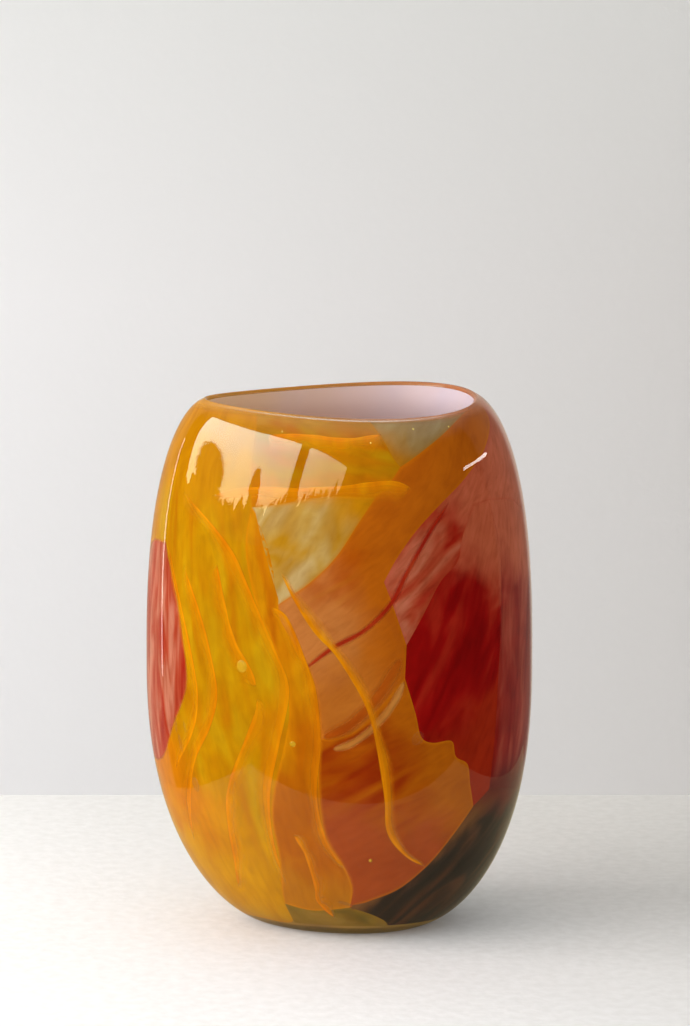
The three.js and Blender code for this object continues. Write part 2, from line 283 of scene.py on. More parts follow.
class Graph:
    """A small helper that adds and links the shader nodes of a material or the world."""

    def __init__(self, owner: bpy.types.ID) -> None:
        """Empties the owner's node tree.

        Args:
            owner: The material or world to fill.
        """
        self.owner = owner
        owner.use_nodes = True
        self.tree = owner.node_tree
        self.tree.nodes.clear()

    @classmethod
    def material(cls, name: str) -> "Graph":
        """Starts an empty material.

        Args:
            name: The material's name.

        Returns:
            The new material's graph.
        """
        return cls(bpy.data.materials.new(name))

    def add(self, kind: str, settings: dict | None = None, **inputs: object) -> bpy.types.Node:
        """Adds a node.

        Args:
            kind: The node's type name, without the ShaderNode prefix.
            settings: Properties to set on the node.
            **inputs: Values or output sockets for inputs, by name with _ for a space, or by i and
                the input's number.

        Returns:
            The new node.
        """
        node = self.tree.nodes.new("ShaderNode" + kind)
        for key, value in (settings or {}).items():
            setattr(node, key, value)
        for key, value in inputs.items():
            socket = node.inputs[int(key[1:])] if key[1:].isdigit() else node.inputs[key.replace("_", " ")]
            if isinstance(value, Socket):
                self.tree.links.new(value, socket)
            else:
                socket.default_value = value
        return node

    def calc(self, operation: str, *values: object) -> Socket:
        """Adds a sum.

        Args:
            operation: The kind of sum.
            *values: Its numbers or sockets, in order.

        Returns:
            The result.
        """
        inputs = {f"i{index}": value for index, value in enumerate(values)}
        return self.add("Math", {"operation": operation}, **inputs).outputs[0]

    def vector_calc(self, operation: str, *values: object) -> Socket:
        """Adds a vector sum.

        Args:
            operation: The kind of sum.
            *values: Its vectors or sockets, in order.

        Returns:
            The result, which is a number for a length or a dot product.
        """
        inputs = {f"i{index}": value for index, value in enumerate(values)}
        node = self.add("VectorMath", {"operation": operation}, **inputs)
        return node.outputs["Value" if operation in ("LENGTH", "DOT_PRODUCT") else "Vector"]

    def span(self, value: Socket, low: float, high: float, first: float = 0.0, last: float = 1.0,
             smooth: bool = False) -> Socket:
        """Maps a value's span to another.

        Args:
            value: The value.
            low: Value that gives first.
            high: Value that gives last.
            first: Result at low and before it.
            last: Result at high and past it.
            smooth: Whether to ease in and out.

        Returns:
            The mapped value.
        """
        settings = {"interpolation_type": "SMOOTHSTEP" if smooth else "LINEAR"}
        return self.add("MapRange", settings, i0=value, i1=low, i2=high, i3=first, i4=last).outputs[0]

    def noise(self, place: Socket, scale: float, detail: float = 2.0, roughness: float = 0.5,
              distortion: float = 0.0) -> Socket:
        """Adds soft noise.

        Args:
            place: The coordinates.
            scale: Repeats to a unit.
            detail: Octaves.
            roughness: Strength of the finer octaves.
            distortion: How far it is swirled.

        Returns:
            The noise's value.
        """
        node = self.add("TexNoise", Vector=place, Scale=scale, Detail=detail, Roughness=roughness,
                        Distortion=distortion)
        return node.outputs["Fac"]

    def bump(self, height: Socket, strength: float, distance: float) -> Socket:
        """Adds fine relief.

        Args:
            height: The relief's height.
            strength: Share of it that shows.
            distance: Metres that a height of 1 stands for.

        Returns:
            The changed normal.
        """
        return self.add("Bump", Height=height, Strength=strength, Distance=distance).outputs[0]

    def surface(self, colour: Socket, roughness: float, specular: float = 0.5, **inputs: object) -> Socket:
        """Adds a solid surface.

        Args:
            colour: Its colour.
            roughness: Its roughness.
            specular: Strength of its mirroring.
            **inputs: Other inputs, by name.

        Returns:
            The shader.
        """
        return self.add("BsdfPrincipled", Base_Color=colour, Roughness=roughness,
                        Specular_IOR_Level=specular, **inputs).outputs[0]

    def clear(self, colour: Colour = (1.0, 1.0, 1.0)) -> Socket:
        """Adds a surface that lets light straight through.

        Args:
            colour: What it lets through.

        Returns:
            The shader.
        """
        return self.add("BsdfTransparent", Color=(*colour, 1.0)).outputs[0]

    def mix(self, share: object, first: Socket, second: Socket) -> Socket:
        """Mixes two shaders.

        Args:
            share: Share of the second shader.
            first: The first shader.
            second: The second shader.

        Returns:
            The mixed shader.
        """
        return self.add("MixShader", i0=share, i1=first, i2=second).outputs[0]

    def clear_to_light(self, shader: Socket, colour: Colour = (1.0, 1.0, 1.0)) -> Socket:
        """Lets scattered light and shadow rays straight through a shader.

        Args:
            shader: The shader, as the eye sees it.
            colour: What is let through.

        Returns:
            The mixed shader.
        """
        clear = self.clear(colour)
        path = self.add("LightPath")
        for kind in ("Is Diffuse Ray", "Is Shadow Ray"):
            shader = self.mix(path.outputs[kind], shader, clear)
        return shader

    def ramp(self, factor: Socket, *stops: tuple[float, Colour]) -> Socket:
        """Adds a colour ramp.

        Args:
            factor: What drives the ramp.
            *stops: Position and colour of each stop.

        Returns:
            The ramp's colour output.
        """
        node = self.add("ValToRGB", i0=factor)
        elements = node.color_ramp.elements
        while len(elements) < len(stops):
            elements.new(0.5)
        for element, (position, colour) in zip(elements, stops):
            element.position = position
            element.color = (*colour, 1.0)
        return node.outputs["Color"]

    def blend(self, factor: object, first: object, second: object, mode: str = "MIX") -> Socket:
        """Blends two colours.

        Args:
            factor: Share of the second colour.
            first: First colour or socket.
            second: Second colour or socket.
            mode: Blend mode.

        Returns:
            The blended colour.
        """
        node = self.add("Mix", {"data_type": "RGBA", "blend_type": mode})
        for index, value in ((0, factor), (6, first), (7, second)):
            if isinstance(value, Socket):
                self.tree.links.new(value, node.inputs[index])
            elif index == 0:
                node.inputs[index].default_value = value
            else:
                node.inputs[index].default_value = (*value, 1.0)
        return node.outputs[2]

    def finish(self, shader: Socket) -> bpy.types.ID:
        """Links the final shader to the output.

        Args:
            shader: The surface shader.

        Returns:
            The finished material or world.
        """
        world = isinstance(self.owner, bpy.types.World)
        self.add("OutputWorld" if world else "OutputMaterial", Surface=shader)
        return self.owner


@dataclass(frozen=True)
class Drift:
    """A slow change of colour across a shard, from nothing at one point to full at another."""

    colour: Colour
    start: Point
    end: Point

    def add(self, g: Graph, flat: Socket, noise: Socket, colour: Socket) -> Socket:
        """Blends the drift over a colour.

        Args:
            g: The material's graph.
            flat: The flat pattern's coordinates.
            noise: Noise that frays the change.
            colour: The colour underneath.

        Returns:
            The blended colour.
        """
        start, end = (Vector((x * MM_PER_DEGREE, y, 0)) * PATTERN_UNIT for x, y in (self.start, self.end))
        run = (end - start) / (end - start).length_squared
        frayed = g.calc("MULTIPLY_ADD", noise, 1.2, -0.6 - run.dot(start))
        share = g.calc("ADD", g.vector_calc("DOT_PRODUCT", flat, run), frayed)
        return g.blend(g.span(share, 0.0, 1.0, smooth=True), colour, self.colour)


@dataclass(frozen=True)
class ShardFinish:
    """Fused colour glass with drawn-out streaks, wisps and a rolled edge."""

    name: str
    body: Colour
    streak: Colour
    wisp: Colour
    edge: Colour
    drifts: tuple[Drift, ...] = ()
    flow: float = 0.0
    stretch: float = 4.0
    grain: float = 2.4
    edge_share: float = 0.6
    fibre_share: float = 0.4
    mottle_share: float = 0.6
    roughness: float = 0.45
    laid_over: bool = False

    def build(self) -> bpy.types.Material:
        """Makes the material.

        Returns:
            The material, which reads the piece's UV map and its rolled_edge attribute.
        """
        g = Graph.material(self.name)
        flat = g.add("TexCoord").outputs["UV"]
        turned = g.add("Mapping", {"vector_type": "TEXTURE"}, Vector=flat,
                       Rotation=(0, 0, math.radians(self.flow)), Scale=(1 / self.stretch, 1.0, 1.0))
        drawn = turned.outputs["Vector"]
        broad = g.noise(drawn, self.grain, 2.0, 0.4, 1.0)
        fine = g.noise(drawn, self.grain * 4.0, 3.0, 0.5, 0.6)
        clouds = g.noise(flat, 6.0, 2.0, 0.5, 0.5)
        colour = g.ramp(broad, (0.32, self.streak), (0.49, self.body), (0.68, self.wisp))
        for drift in self.drifts:
            colour = drift.add(g, flat, clouds, colour)
        fibres = g.ramp(fine, (0.3, (0.80, 0.72, 0.66)), (0.5, (1, 1, 1)), (0.7, (1.12, 1.2, 1.35)))
        colour = g.blend(self.fibre_share, colour, fibres, "MULTIPLY")
        mottle = g.ramp(clouds, (0.36, (0.86, 0.8, 0.74)), (0.62, (1.06, 1.1, 1.14)))
        colour = g.blend(self.mottle_share, colour, mottle, "MULTIPLY")
        rolled = g.add("Attribute", {"attribute_name": "rolled_edge"}).outputs["Fac"]
        colour = g.blend(g.calc("MULTIPLY", rolled, self.edge_share), colour, self.edge)
        shader = g.surface(colour, self.roughness, 0.0)
        return g.finish(self.feathered(g, shader) if self.laid_over else shader)

    def feathered(self, g: Graph, shader: Socket) -> Socket:
        """Fades a strand out towards its feathered edges, and lets light through to the glass below.

        Args:
            g: The material's graph.
            shader: The strand's dense shader.

        Returns:
            The feathered shader.
        """
        cover = g.add("Attribute", {"attribute_name": "cover"}).outputs["Fac"]
        behind = g.add("NewGeometry").outputs["Backfacing"]
        bare = g.clear()
        return g.clear_to_light(g.mix(behind, g.mix(cover, bare, shader), bare))


@dataclass(frozen=True)
class OpalFinish:
    """Opal lining: pinkish white, warmer towards the narrow end, glossy inside the vase."""

    name: str
    rosy: Colour = (0.92, 0.68, 0.59)
    pale: Colour = (0.70, 0.59, 0.65)
    warm: Colour = (0.98, 0.65, 0.36)

    def build(self) -> bpy.types.Material:
        """Makes the material.

        Returns:
            The material, which reads Object coordinates.
        """
        g = Graph.material(self.name)
        place = g.add("TexCoord").outputs["Object"]
        split = g.add("SeparateXYZ", Vector=place)
        wander = g.calc("MULTIPLY_ADD", g.noise(place, 22.0, 3.0, 0.5, 1.0), 0.5, -0.25)
        across = g.calc("ADD", g.span(split.outputs["X"], -0.05, 0.05), wander)
        colour = g.ramp(across, (0.0, self.warm), (0.45, self.rosy), (1.0, self.pale))
        return g.finish(g.surface(colour, 0.12, 0.4))


@dataclass(frozen=True)
class BackingFinish:
    """The lining's hidden outer face, stained by the colours that melted into it."""

    name: str
    stain: Colour = (0.52, 0.30, 0.06)
    deep: Colour = (0.30, 0.15, 0.04)

    def build(self) -> bpy.types.Material:
        """Makes the material.

        Returns:
            The material, which reads Object coordinates.
        """
        g = Graph.material(self.name)
        noise = g.noise(g.add("TexCoord").outputs["Object"], 30.0, 3.0)
        colour = g.ramp(noise, (0.35, self.deep), (0.65, self.stain))
        return g.finish(g.surface(colour, 0.5, 0.0))


@dataclass(frozen=True)
class CasingFinish:
    """Clear fire-polished glass with the faint ripple of a hand-turned surface.

    Colour drawn up into the lip stains its top, between the stain heights in metres.
    """

    name: str
    tint: Colour = (1.0, 0.985, 0.96)
    shade: Colour = (0.82, 0.81, 0.80)
    left_stain: Colour = (0.66, 0.30, 0.03)
    right_stain: Colour = (0.50, 0.16, 0.06)
    stain_share: float = 0.65
    stain_heights: Point = (0.2225, 0.2255)

    def build(self) -> bpy.types.Material:
        """Makes the material.

        Returns:
            The material, which reads Object coordinates.
        """
        g = Graph.material(self.name)
        place = g.add("TexCoord").outputs["Object"]
        split = g.add("SeparateXYZ", Vector=place)
        ripple = g.bump(g.noise(place, 14.0, 1.5, 0.4), 0.35, 0.0009)
        glass = g.add("BsdfGlass", Color=(*self.tint, 1.0), Roughness=0.0, IOR=1.45, Normal=ripple)
        body = g.clear_to_light(glass.outputs[0], self.shade)
        across = g.span(split.outputs["X"], -0.03, 0.055)
        stain = g.ramp(across, (0.0, self.left_stain), (1.0, self.right_stain))
        share = g.span(split.outputs["Z"], *self.stain_heights, 0.0, self.stain_share, smooth=True)
        return g.finish(g.mix(share, body, g.surface(stain, 0.2, 0.2)))


@dataclass(frozen=True)
class FusedFaceFinish:
    """The casing's inner face, fused to the colour, so it neither bends nor mirrors light."""

    name: str

    def build(self) -> bpy.types.Material:
        """Makes the material.

        Returns:
            The material.
        """
        g = Graph.material(self.name)
        return g.finish(g.clear())


@dataclass(frozen=True)
class SpeckFinish:
    """Seed bubbles and gold flecks caught in the clear glass.

    The share is how dense a speck is at its rim; its middle is clearer by the hollow. A seed bubble's dense
    rim is a painted reflection of the light that its edge bends.
    """

    name: str
    glow: Colour
    share: float = 0.5
    hollow: float = 0.0

    def build(self) -> bpy.types.Material:
        """Makes the material.

        Returns:
            The material, which reads Object coordinates.
        """
        g = Graph.material(self.name)
        noise = g.noise(g.add("TexCoord").outputs["Object"], 400.0)
        colour = g.ramp(noise, (0.3, tuple(0.8 * part for part in self.glow)), (0.7, self.glow))
        rim = g.add("LayerWeight", Blend=0.5).outputs["Facing"]
        dense = g.span(rim, 0.1, 0.9, self.share * (1 - self.hollow), self.share)
        return g.finish(g.clear_to_light(g.mix(dense, g.clear(), g.surface(colour, 0.25))))


# ---------------------------------------------------------------------------------------------
# Mesh work
# ---------------------------------------------------------------------------------------------


def object_from(bm: bmesh.types.BMesh, name: str,
                materials: Sequence[bpy.types.Material]) -> bpy.types.Object:
    """Turns a finished bmesh into an object in the scene.

    Args:
        bm: The bmesh, in metres, which is freed.
        name: Name of the object.
        materials: Materials by slot index.

    Returns:
        The new object, at the origin.
    """
    for edge in bm.edges:
        edge.smooth = not edge.is_manifold or edge.calc_face_angle() < math.radians(35)
    mesh = bpy.data.meshes.new(name)
    bm.to_mesh(mesh)
    bm.free()
    for material in materials:
        mesh.materials.append(material)
    mesh.polygons.foreach_set("use_smooth", [True] * len(mesh.polygons))
    piece = bpy.data.objects.new(name, mesh)
    bpy.context.scene.collection.objects.link(piece)
    return piece


def spun(form: BodyForm, profile: Sequence[Point], steps: int) -> bmesh.types.BMesh:
    """Spins a profile into a round solid and blows it into shape.

    Args:
        form: The body's form.
        profile: (radius, height) points from axis to axis, in drawn millimetres.
        steps: Segments in the full turn.

    Returns:
        The closed bmesh, in metres.
    """
    bm = bmesh.new()
    verts = [bm.verts.new((radius, 0.0, height)) for radius, height in profile]
    edges = [bm.edges.new(pair) for pair in zip(verts, verts[1:])]
    bmesh.ops.spin(
        bm,
        geom=verts + edges,
        cent=(0, 0, 0),
        axis=(0, 0, 1),
        angle=math.tau,
        steps=steps,
        use_merge=True,
    )
    bmesh.ops.remove_doubles(bm, verts=bm.verts, dist=1e-3)
    for vert in bm.verts:
        angle = math.atan2(vert.co.y, vert.co.x)
        vert.co = form.blow(angle, math.hypot(vert.co.x, vert.co.y), vert.co.z)
    bmesh.ops.recalc_face_normals(bm, faces=bm.faces)
    return bm


def cut_grid(bm: bmesh.types.BMesh, cell: float) -> None:
    """Cuts a flat sheet along a square grid, so that it can follow a curved body.

    Args:
        bm: The flat sheet, in its XY plane.
        cell: Grid pitch.
    """
    for axis in (0, 1):
        normal = Vector((0, 0, 0))
        normal[axis] = 1
        low = min(vert.co[axis] for vert in bm.verts)
        high = max(vert.co[axis] for vert in bm.verts)
        for line in range(math.ceil(low / cell), math.floor(high / cell) + 1):
            bmesh.ops.bisect_plane(
                bm,
                geom=bm.verts[:] + bm.edges[:] + bm.faces[:],
                dist=1e-4,
                plane_co=normal * (line * cell),
                plane_no=normal,
            )


def map_flat(bm: bmesh.types.BMesh, flat: bmesh.types.BMLayerItem) -> None:
    """Gives a flat piece the UV map that its finish reads.

    Args:
        bm: The flat piece, in drawn millimetres.
        flat: Its UV layer.
    """
    for face in bm.faces:
        for loop in face.loops:
            loop[flat].uv = (loop.vert.co.x * PATTERN_UNIT, loop.vert.co.y * PATTERN_UNIT)


def turn_faces(bm: bmesh.types.BMesh, front: tuple[float, float, float]) -> None:
    """Turns the faces of an open sheet to one side.

    Args:
        bm: The sheet.
        front: The direction that its front looks in.
    """
    for face in bm.faces:
        face.normal_update()
        if face.normal.dot(Vector(front)) < 0:
            face.normal_flip()


@dataclass
class Sheet:
    """A flat sheet of glass cut to an outline and laid on the body."""

    points: Sequence[Point]
    layer: Layer
    thickness: float = 0.6
    rolled: float = 1.3
    cell: float = 3.0
    soft: bool = False

    def build(self, form: BodyForm) -> bmesh.types.BMesh:
        """Cuts the sheet, thickens it, marks its rolled edge and lays it on the body.

        Args:
            form: The body's form.

        Returns:
            The closed bmesh, in metres.
        """
        bm = bmesh.new()
        mark = bm.verts.layers.float.new("rolled_edge")
        flat = bm.loops.layers.uv.new("UVMap")
        face = bm.faces.new([bm.verts.new((degrees * MM_PER_DEGREE, height, 0.0))
                             for degrees, height in self.points])
        turn_faces(bm, (0, 0, 1))
        bmesh.ops.inset_region(bm, faces=[face], thickness=self.rolled, use_boundary=True)
        cover = bm.verts.layers.float.new("cover")
        for vert in bm.verts:
            vert[mark] = 1.0 if vert.is_boundary else 0.0
            vert[cover] = 0.0 if vert.is_boundary and self.soft else 1.0
        bmesh.ops.triangulate(bm, faces=bm.faces)
        cut_grid(bm, self.cell)
        map_flat(bm, flat)
        self.thicken(bm, mark)
        for vert in bm.verts:
            depth = self.layer.value - vert.co.z
            vert.co = form.lay(vert.co.x / MM_PER_DEGREE, vert.co.y, depth)
        bmesh.ops.recalc_face_normals(bm, faces=bm.faces)
        return bm

    def thicken(self, bm: bmesh.types.BMesh, mark: bmesh.types.BMLayerItem) -> None:
        """Gives the sheet its thickness, thinner at the very edge.

        Args:
            bm: The flat sheet.
            mark: The rolled edge's attribute.
        """
        grown = bmesh.ops.extrude_face_region(bm, geom=bm.faces[:])
        top = [item for item in grown["geom"] if isinstance(item, bmesh.types.BMVert)]
        raised = set(top)
        lower = [vert for vert in bm.verts if vert not in raised]
        for vert in top:
            vert.co.z = -0.3 * self.thickness * vert[mark] ** 4
        for vert in lower:
            vert.co.z = -self.thickness * (1 - 0.3 * vert[mark] ** 4)


@dataclass
class Strand:
    """A drawn strand of glass, domed across, pointed at both ends, feathered on one side.

    The feather's sign says on which side of the path it lies; its size is in drawn millimetres.
    The taper and the fade are the shares of the length at each end over which it narrows and
    thins out.
    """

    path: Sequence[Point]
    width: float
    layer: Layer
    feather: float = 0.0
    veil: float = 0.75
    soft: bool = False
    thickness: float = 0.6
    segments: int = 96
    taper: float = 0.15
    fade: float = 0.06

    def columns(self) -> list[tuple[float, float, float]]:
        """Draws the strand across.

        Returns:
            The offset, cover and dome height of each column.
        """
        half = 0.5 * self.width
        if self.soft:
            return [(-1.1 * half, 0.0, 0.0), (-0.7 * half, 0.45, 0.4), (-0.3 * half, 0.9, 0.8),
                    (0.0, 1.0, 1.0), (0.3 * half, 0.9, 0.8), (0.7 * half, 0.45, 0.4),
                    (1.1 * half, 0.0, 0.0)]
        side = -1.0 if self.feather < 0 else 1.0
        reach = abs(self.feather)
        rows = [(-0.75 * half, 0.0, 0.2), (-0.5 * half, 1.0, 0.8), (0.0, 1.0, 1.0),
                (0.45 * half, 1.0, 0.7)]
        if reach:
            rows += [(0.8 * half, self.veil, 0.3), (half + 0.3 * reach, 0.6 * self.veil, 0.1),
                     (half + 0.65 * reach, 0.22 * self.veil, 0.05), (half + reach, 0.0, 0.0)]
        else:
            rows += [(0.75 * half, 0.0, 0.2)]
        return [(side * offset, cover, dome) for offset, cover, dome in rows][:: int(side)]

    def build(self, form: BodyForm) -> bmesh.types.BMesh:
        """Lays the strand along its path.

        Args:
            form: The body's form.

        Returns:
            The closed bmesh, in metres.
        """
        line = [Vector((degrees * MM_PER_DEGREE, height)) for degrees, height in smooth_run(self.path, 16)]
        columns = self.columns()
        bm = bmesh.new()
        cover = bm.verts.layers.float.new("cover")
        dome = bm.verts.layers.float.new("dome")
        flat = bm.loops.layers.uv.new("UVMap")
        bmesh.ops.create_grid(bm, x_segments=self.segments, y_segments=len(columns) - 1, size=0.5)
        lower = list(bm.verts)
        for vert in lower:
            share = vert.co.x + 0.5
            offset, vert[cover], vert[dome] = columns[round((vert.co.y + 0.5) * (len(columns) - 1))]
            at = share * (len(line) - 1)
            index = min(int(at), len(line) - 2)
            place = line[index].lerp(line[index + 1], at - index)
            ahead = (line[min(index + 3, len(line) - 1)] - line[max(index - 2, 0)]).normalized()
            taper = max(0.03, min(1.0, share / self.taper, (1 - share) / self.taper)) ** 0.6
            sway = 0.08 if self.soft else 0.3
            wander = 1 + sway * math.sin(9.0 * share + self.width * 7) * math.sin(23.0 * share)
            place = place + Vector((-ahead.y, ahead.x)) * offset * taper * wander
            vert.co = (place.x, place.y, 0.0)
            vert[cover] *= min(1.0, share / self.fade, (1 - share) / self.fade)
        map_flat(bm, flat)
        grown = bmesh.ops.extrude_face_region(bm, geom=bm.faces[:])
        for item in grown["geom"]:
            if isinstance(item, bmesh.types.BMVert):
                item.co.z = self.thickness * (0.15 + 0.2 * item[dome])
        for vert in lower:
            vert.co.z = -self.thickness * 0.15
        for vert in bm.verts:
            depth = self.layer.value + 0.7 * self.thickness - vert.co.z
            vert.co = form.lay(vert.co.x / MM_PER_DEGREE, vert.co.y, depth)
        bmesh.ops.remove_doubles(bm, verts=bm.verts, dist=1e-6)
        bmesh.ops.recalc_face_normals(bm, faces=bm.faces)
        return bm


def settle(piece: bpy.types.Object, node: str) -> None:
    """Puts a finished piece in place of its frame node.

    Args:
        piece: The finished piece.
        node: Name of the node that it stands for.
    """
    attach(piece, "root")
    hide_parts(node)
    LOG.info("%s: %d faces", piece.name, len(piece.data.polygons))


# ---------------------------------------------------------------------------------------------
# The vase's own pieces
# ---------------------------------------------------------------------------------------------


@dataclass
class ClearCasing:
    """The outer gather: body, heavy foot with its ground hollow, and rounded lip."""

    form: BodyForm
    wall: float = 2.4
    foot_thickness: float = 5.2
    foot_round: float = 1.4
    seat: float = 224.7
    lip_round: float = 1.6
    pontil: float = 15.0
    pontil_depth: float = 1.2
    rows: int = 46
    steps: int = 192

    def profile(self) -> list[Point]:
        """Draws the profile from the underside, up the outside, over the lip and down inside.

        Returns:
            Its (radius, height) points, in drawn millimetres.
        """
        form = self.form
        quarter = math.pi / 2
        points: list[Point] = []
        for i in range(10):
            share = i / 9
            points.append((self.pontil * share, self.pontil_depth * (1 - share**2)))
        points.append((form.foot - self.foot_round, 0.0))
        for i in range(2, self.rows + 1):
            turn = quarter * i / self.rows
            height = form.belly_height * (1 - math.cos(turn) ** (2 / form.lower_power[0]))
            points.append((form.radius(height), height))
        lip_x, lip_z = form.mouth + self.lip_round, form.height - self.lip_round
        for i in range(1, self.rows + 1):
            turn = quarter * i / self.rows
            rise = math.sin(turn) ** (2 / form.upper_power[0])
            height = form.belly_height + (form.height - form.belly_height) * rise
            if form.radius(height) < lip_x + 0.4:
                break
            points.append((form.radius(height), height))
        for i in range(9):
            turn = quarter * (1 + 0.95 * i / 8)
            points.append((lip_x + self.lip_round * math.cos(turn), lip_z + self.lip_round * math.sin(turn)))
        for i in range(self.rows + 1):
            share = ease(i / self.rows) if i > self.rows / 2 else i / self.rows
            height = self.seat - (self.seat - self.foot_thickness) * share
            depth = self.wall * form.wall(height) / Layer.HOLLOW.value
            points.append((form.radius(height) - depth, height))
        points.append((0.0, self.foot_thickness))
        return points

    def build(self) -> None:
        """Spins the casing and dresses its polished and fused faces."""
        bm = spun(self.form, self.profile(), self.steps)
        unit = self.form.unit
        seat = (self.seat - 1.5) * unit
        for face in bm.faces:
            centre = face.calc_center_median()
            inward = face.normal.dot(Vector((centre.x, centre.y, 0))) < 0
            hidden = 0.5 * self.foot_thickness * unit < centre.z < seat
            floor = face.normal.z > 0.9 and centre.z < 2 * self.foot_thickness * unit
            face.material_index = 1 if hidden and (inward or floor) else 0
        finishes = [CasingFinish("casing_polished").build(), FusedFaceFinish("casing_fused").build()]
        settle(object_from(bm, "casing_glass", finishes), "clear_casing")


@dataclass
class OpalLiner:
    """The opal bubble, open at the mouth."""

    form: BodyForm
    bottom: float = 5.7
    floor: float = 4.0
    top: float = 224.5
    rows: int = 64
    steps: int = 160

    def build(self) -> None:
        """Spins the liner: stained outside, glossy opal inside."""
        form = self.form
        outer, inner = Layer.LINER.value, Layer.HOLLOW.value
        points: list[Point] = [(0.0, self.bottom)]
        for i in range(self.rows + 1):
            height = self.bottom + (self.top - self.bottom) * i / self.rows
            points.append((form.radius(height) - outer * form.wall(height) / inner, height))
        for i in range(self.rows + 1):
            height = self.top - (self.top - self.bottom - self.floor) * i / self.rows
            points.append((form.radius(height) - form.wall(height), height))
        points.append((0.0, self.bottom + self.floor))
        bm = spun(form, points, self.steps)
        for face in bm.faces:
            centre = face.calc_center_median()
            outward = face.normal.dot(Vector((centre.x, centre.y, 0))) > 0
            under = face.normal.z < -0.7
            face.material_index = 1 if outward or under else 0
        finishes = [OpalFinish("opal_inside").build(), BackingFinish("opal_backing").build()]
        settle(object_from(bm, "opal_bubble", finishes), "opal_liner")


# Edges that neighbouring shards share, as (degrees, height).
SWEEP_RIM = [(-24, 220.5), (-37, 217.3), (-48, 213.3), (-56.5, 210), (-68, 205)]
SWEEP_UPPER = [(-68, 205), (-78, 194)]
SWEEP_FOLD = [(-78, 194), (-84, 183), (-91, 169), (-99, 158), (-109, 148)]
SWEEP_LOWER = [(-18, 210.5), (-31, 205), (-40, 201), (-53, 192), (-63.5, 181.5), (-71, 170),
               (-76, 159)]
SWEEP_END = [(-18, 210.5), (-11, 214), (-8, 220.5)]
PETAL_TOP = [(-76, 159), (-73, 148), (-69, 132)]
PETAL_MIDDLE = [(-69, 132), (-69.5, 118)]
PETAL_LOW = [(-69.5, 118), (-66, 103), (-64, 93), (-60, 90), (-53, 90), (-51, 83), (-46, 79),
             (-44, 70), (-41, 60)]
RED_LEFT = [(-69, 132), (-64, 143), (-57, 158), (-50, 166), (-47, 177), (-41, 188)]
RED_TOP = [(-41, 188), (-33, 189)]
RED_RIGHT = [(-33, 189), (-30, 170), (-31, 140), (-33, 110), (-34, 80), (-34, 66)]
PLUM_TOP = [(-33, 189), (-18, 186), (-6, 180), (4, 190)]
PLUM_END = [(4, 190), (14, 160), (18, 120), (16, 80), (10, 56)]
ARC_UNDER = [(-95.5, 92), (-86, 95), (-78, 105), (-69.5, 118)]
FOLD_TOP = [(-109, 148), (-108, 141), (-103, 131), (-99, 121), (-96.5, 108), (-95.5, 92)]
FOLD_LOW = [(-95.5, 92), (-96.5, 72), (-95, 50), (-89, 36), (-86, 26), (-87, 18)]
DARK_FRONT = [(-87, 18), (-78, 21), (-66, 26), (-56, 36), (-47, 50), (-41, 60)]
DARK_TOP = [(-41, 60), (-34, 66)]
DARK_SIDE = [(-34, 66), (-22, 64), (-8, 60), (10, 56)]
DARK_BACK = [(10, 56), (26, 50), (42, 40), (60, 50)]
KHAKI_LEFT = [(-120, 187), (-116, 181), (-112, 171), (-109.5, 158), (-109, 148)]
KHAKI_TOP = [(-120, 187), (-108, 190), (-94, 194), (-78, 194)]
YELLOW_TOP = [(-127, 220.5), (-122, 200), (-120, 187)]
YELLOW_SIDE = [(-120, 187), (-121, 170), (-116, 146), (-111, 133), (-105.5, 108), (-107, 90),
               (-113, 60), (-113, 38), (-117, 18)]
OLIVE_TOP = [(-117, 18), (-104, 16), (-87, 18)]
OLIVE_END = [(-87, 18), (-78, 15.5), (-69, 12), (-65, 9.2)]
RIM_KHAKI = [(-78, 220.5), (-73, 214), (-70, 208), (-68, 205)]
LEFT_END = [(-176, 220.5), (-178, 150), (-178, 70), (-172, 30), (-166, 9.2)]
BACK_RIGHT = [(84, 220.5), (78, 190), (66, 160), (60, 120)]
BACK_RIGHT_LOW = [(60, 120), (68, 84), (60, 50)]
BACK_LEFT = [(132, 220.5), (122, 190), (128, 150), (112, 110)]
BACK_LEFT_LOW = [(112, 110), (118, 70), (104, 40)]
BACK_FOOT = [(104, 40), (108, 9.2)]
BACK_CROSS = [(60, 120), (86, 118), (112, 110)]
BACK_SMOKE = [(60, 50), (84, 34), (104, 40)]

YELLOW = ShardFinish(
    "yellow_glass", (0.61, 0.27, 0.001), (0.58, 0.20, 0.001), (0.63, 0.33, 0.003), (0.66, 0.25, 0.001),
    drifts=(Drift((0.60, 0.24, 0.001), (-140, 172), (-138, 202)),
            Drift((0.68, 0.21, 0.001), (-142, 84), (-156, 70)),
            Drift((0.66, 0.29, 0.001), (-125, 62), (-125, 30)),
            Drift((0.58, 0.27, 0.005), (-125, 18), (-125, 8))),
    flow=10, stretch=4.0, grain=2.2)
YELLOW_TOP_GLASS = ShardFinish(
    "yellow_top_glass", (0.50, 0.20, 0.001), (0.54, 0.155, 0.001), (0.52, 0.27, 0.003),
    (0.62, 0.22, 0.001),
    drifts=(Drift((0.62, 0.19, 0.001), (-95, 206), (-95, 194)),
            Drift((0.50, 0.24, 0.02), (-95, 213), (-95, 222))), flow=86, stretch=4, grain=2.4)
KHAKI = ShardFinish(
    "khaki_glass", (0.56, 0.33, 0.07), (0.54, 0.25, 0.008), (0.64, 0.44, 0.17), (0.66, 0.24, 0.002),
    drifts=(Drift((0.58, 0.23, 0.002), (-96, 184), (-84, 196)),), flow=-30, stretch=2.5, grain=3.0)
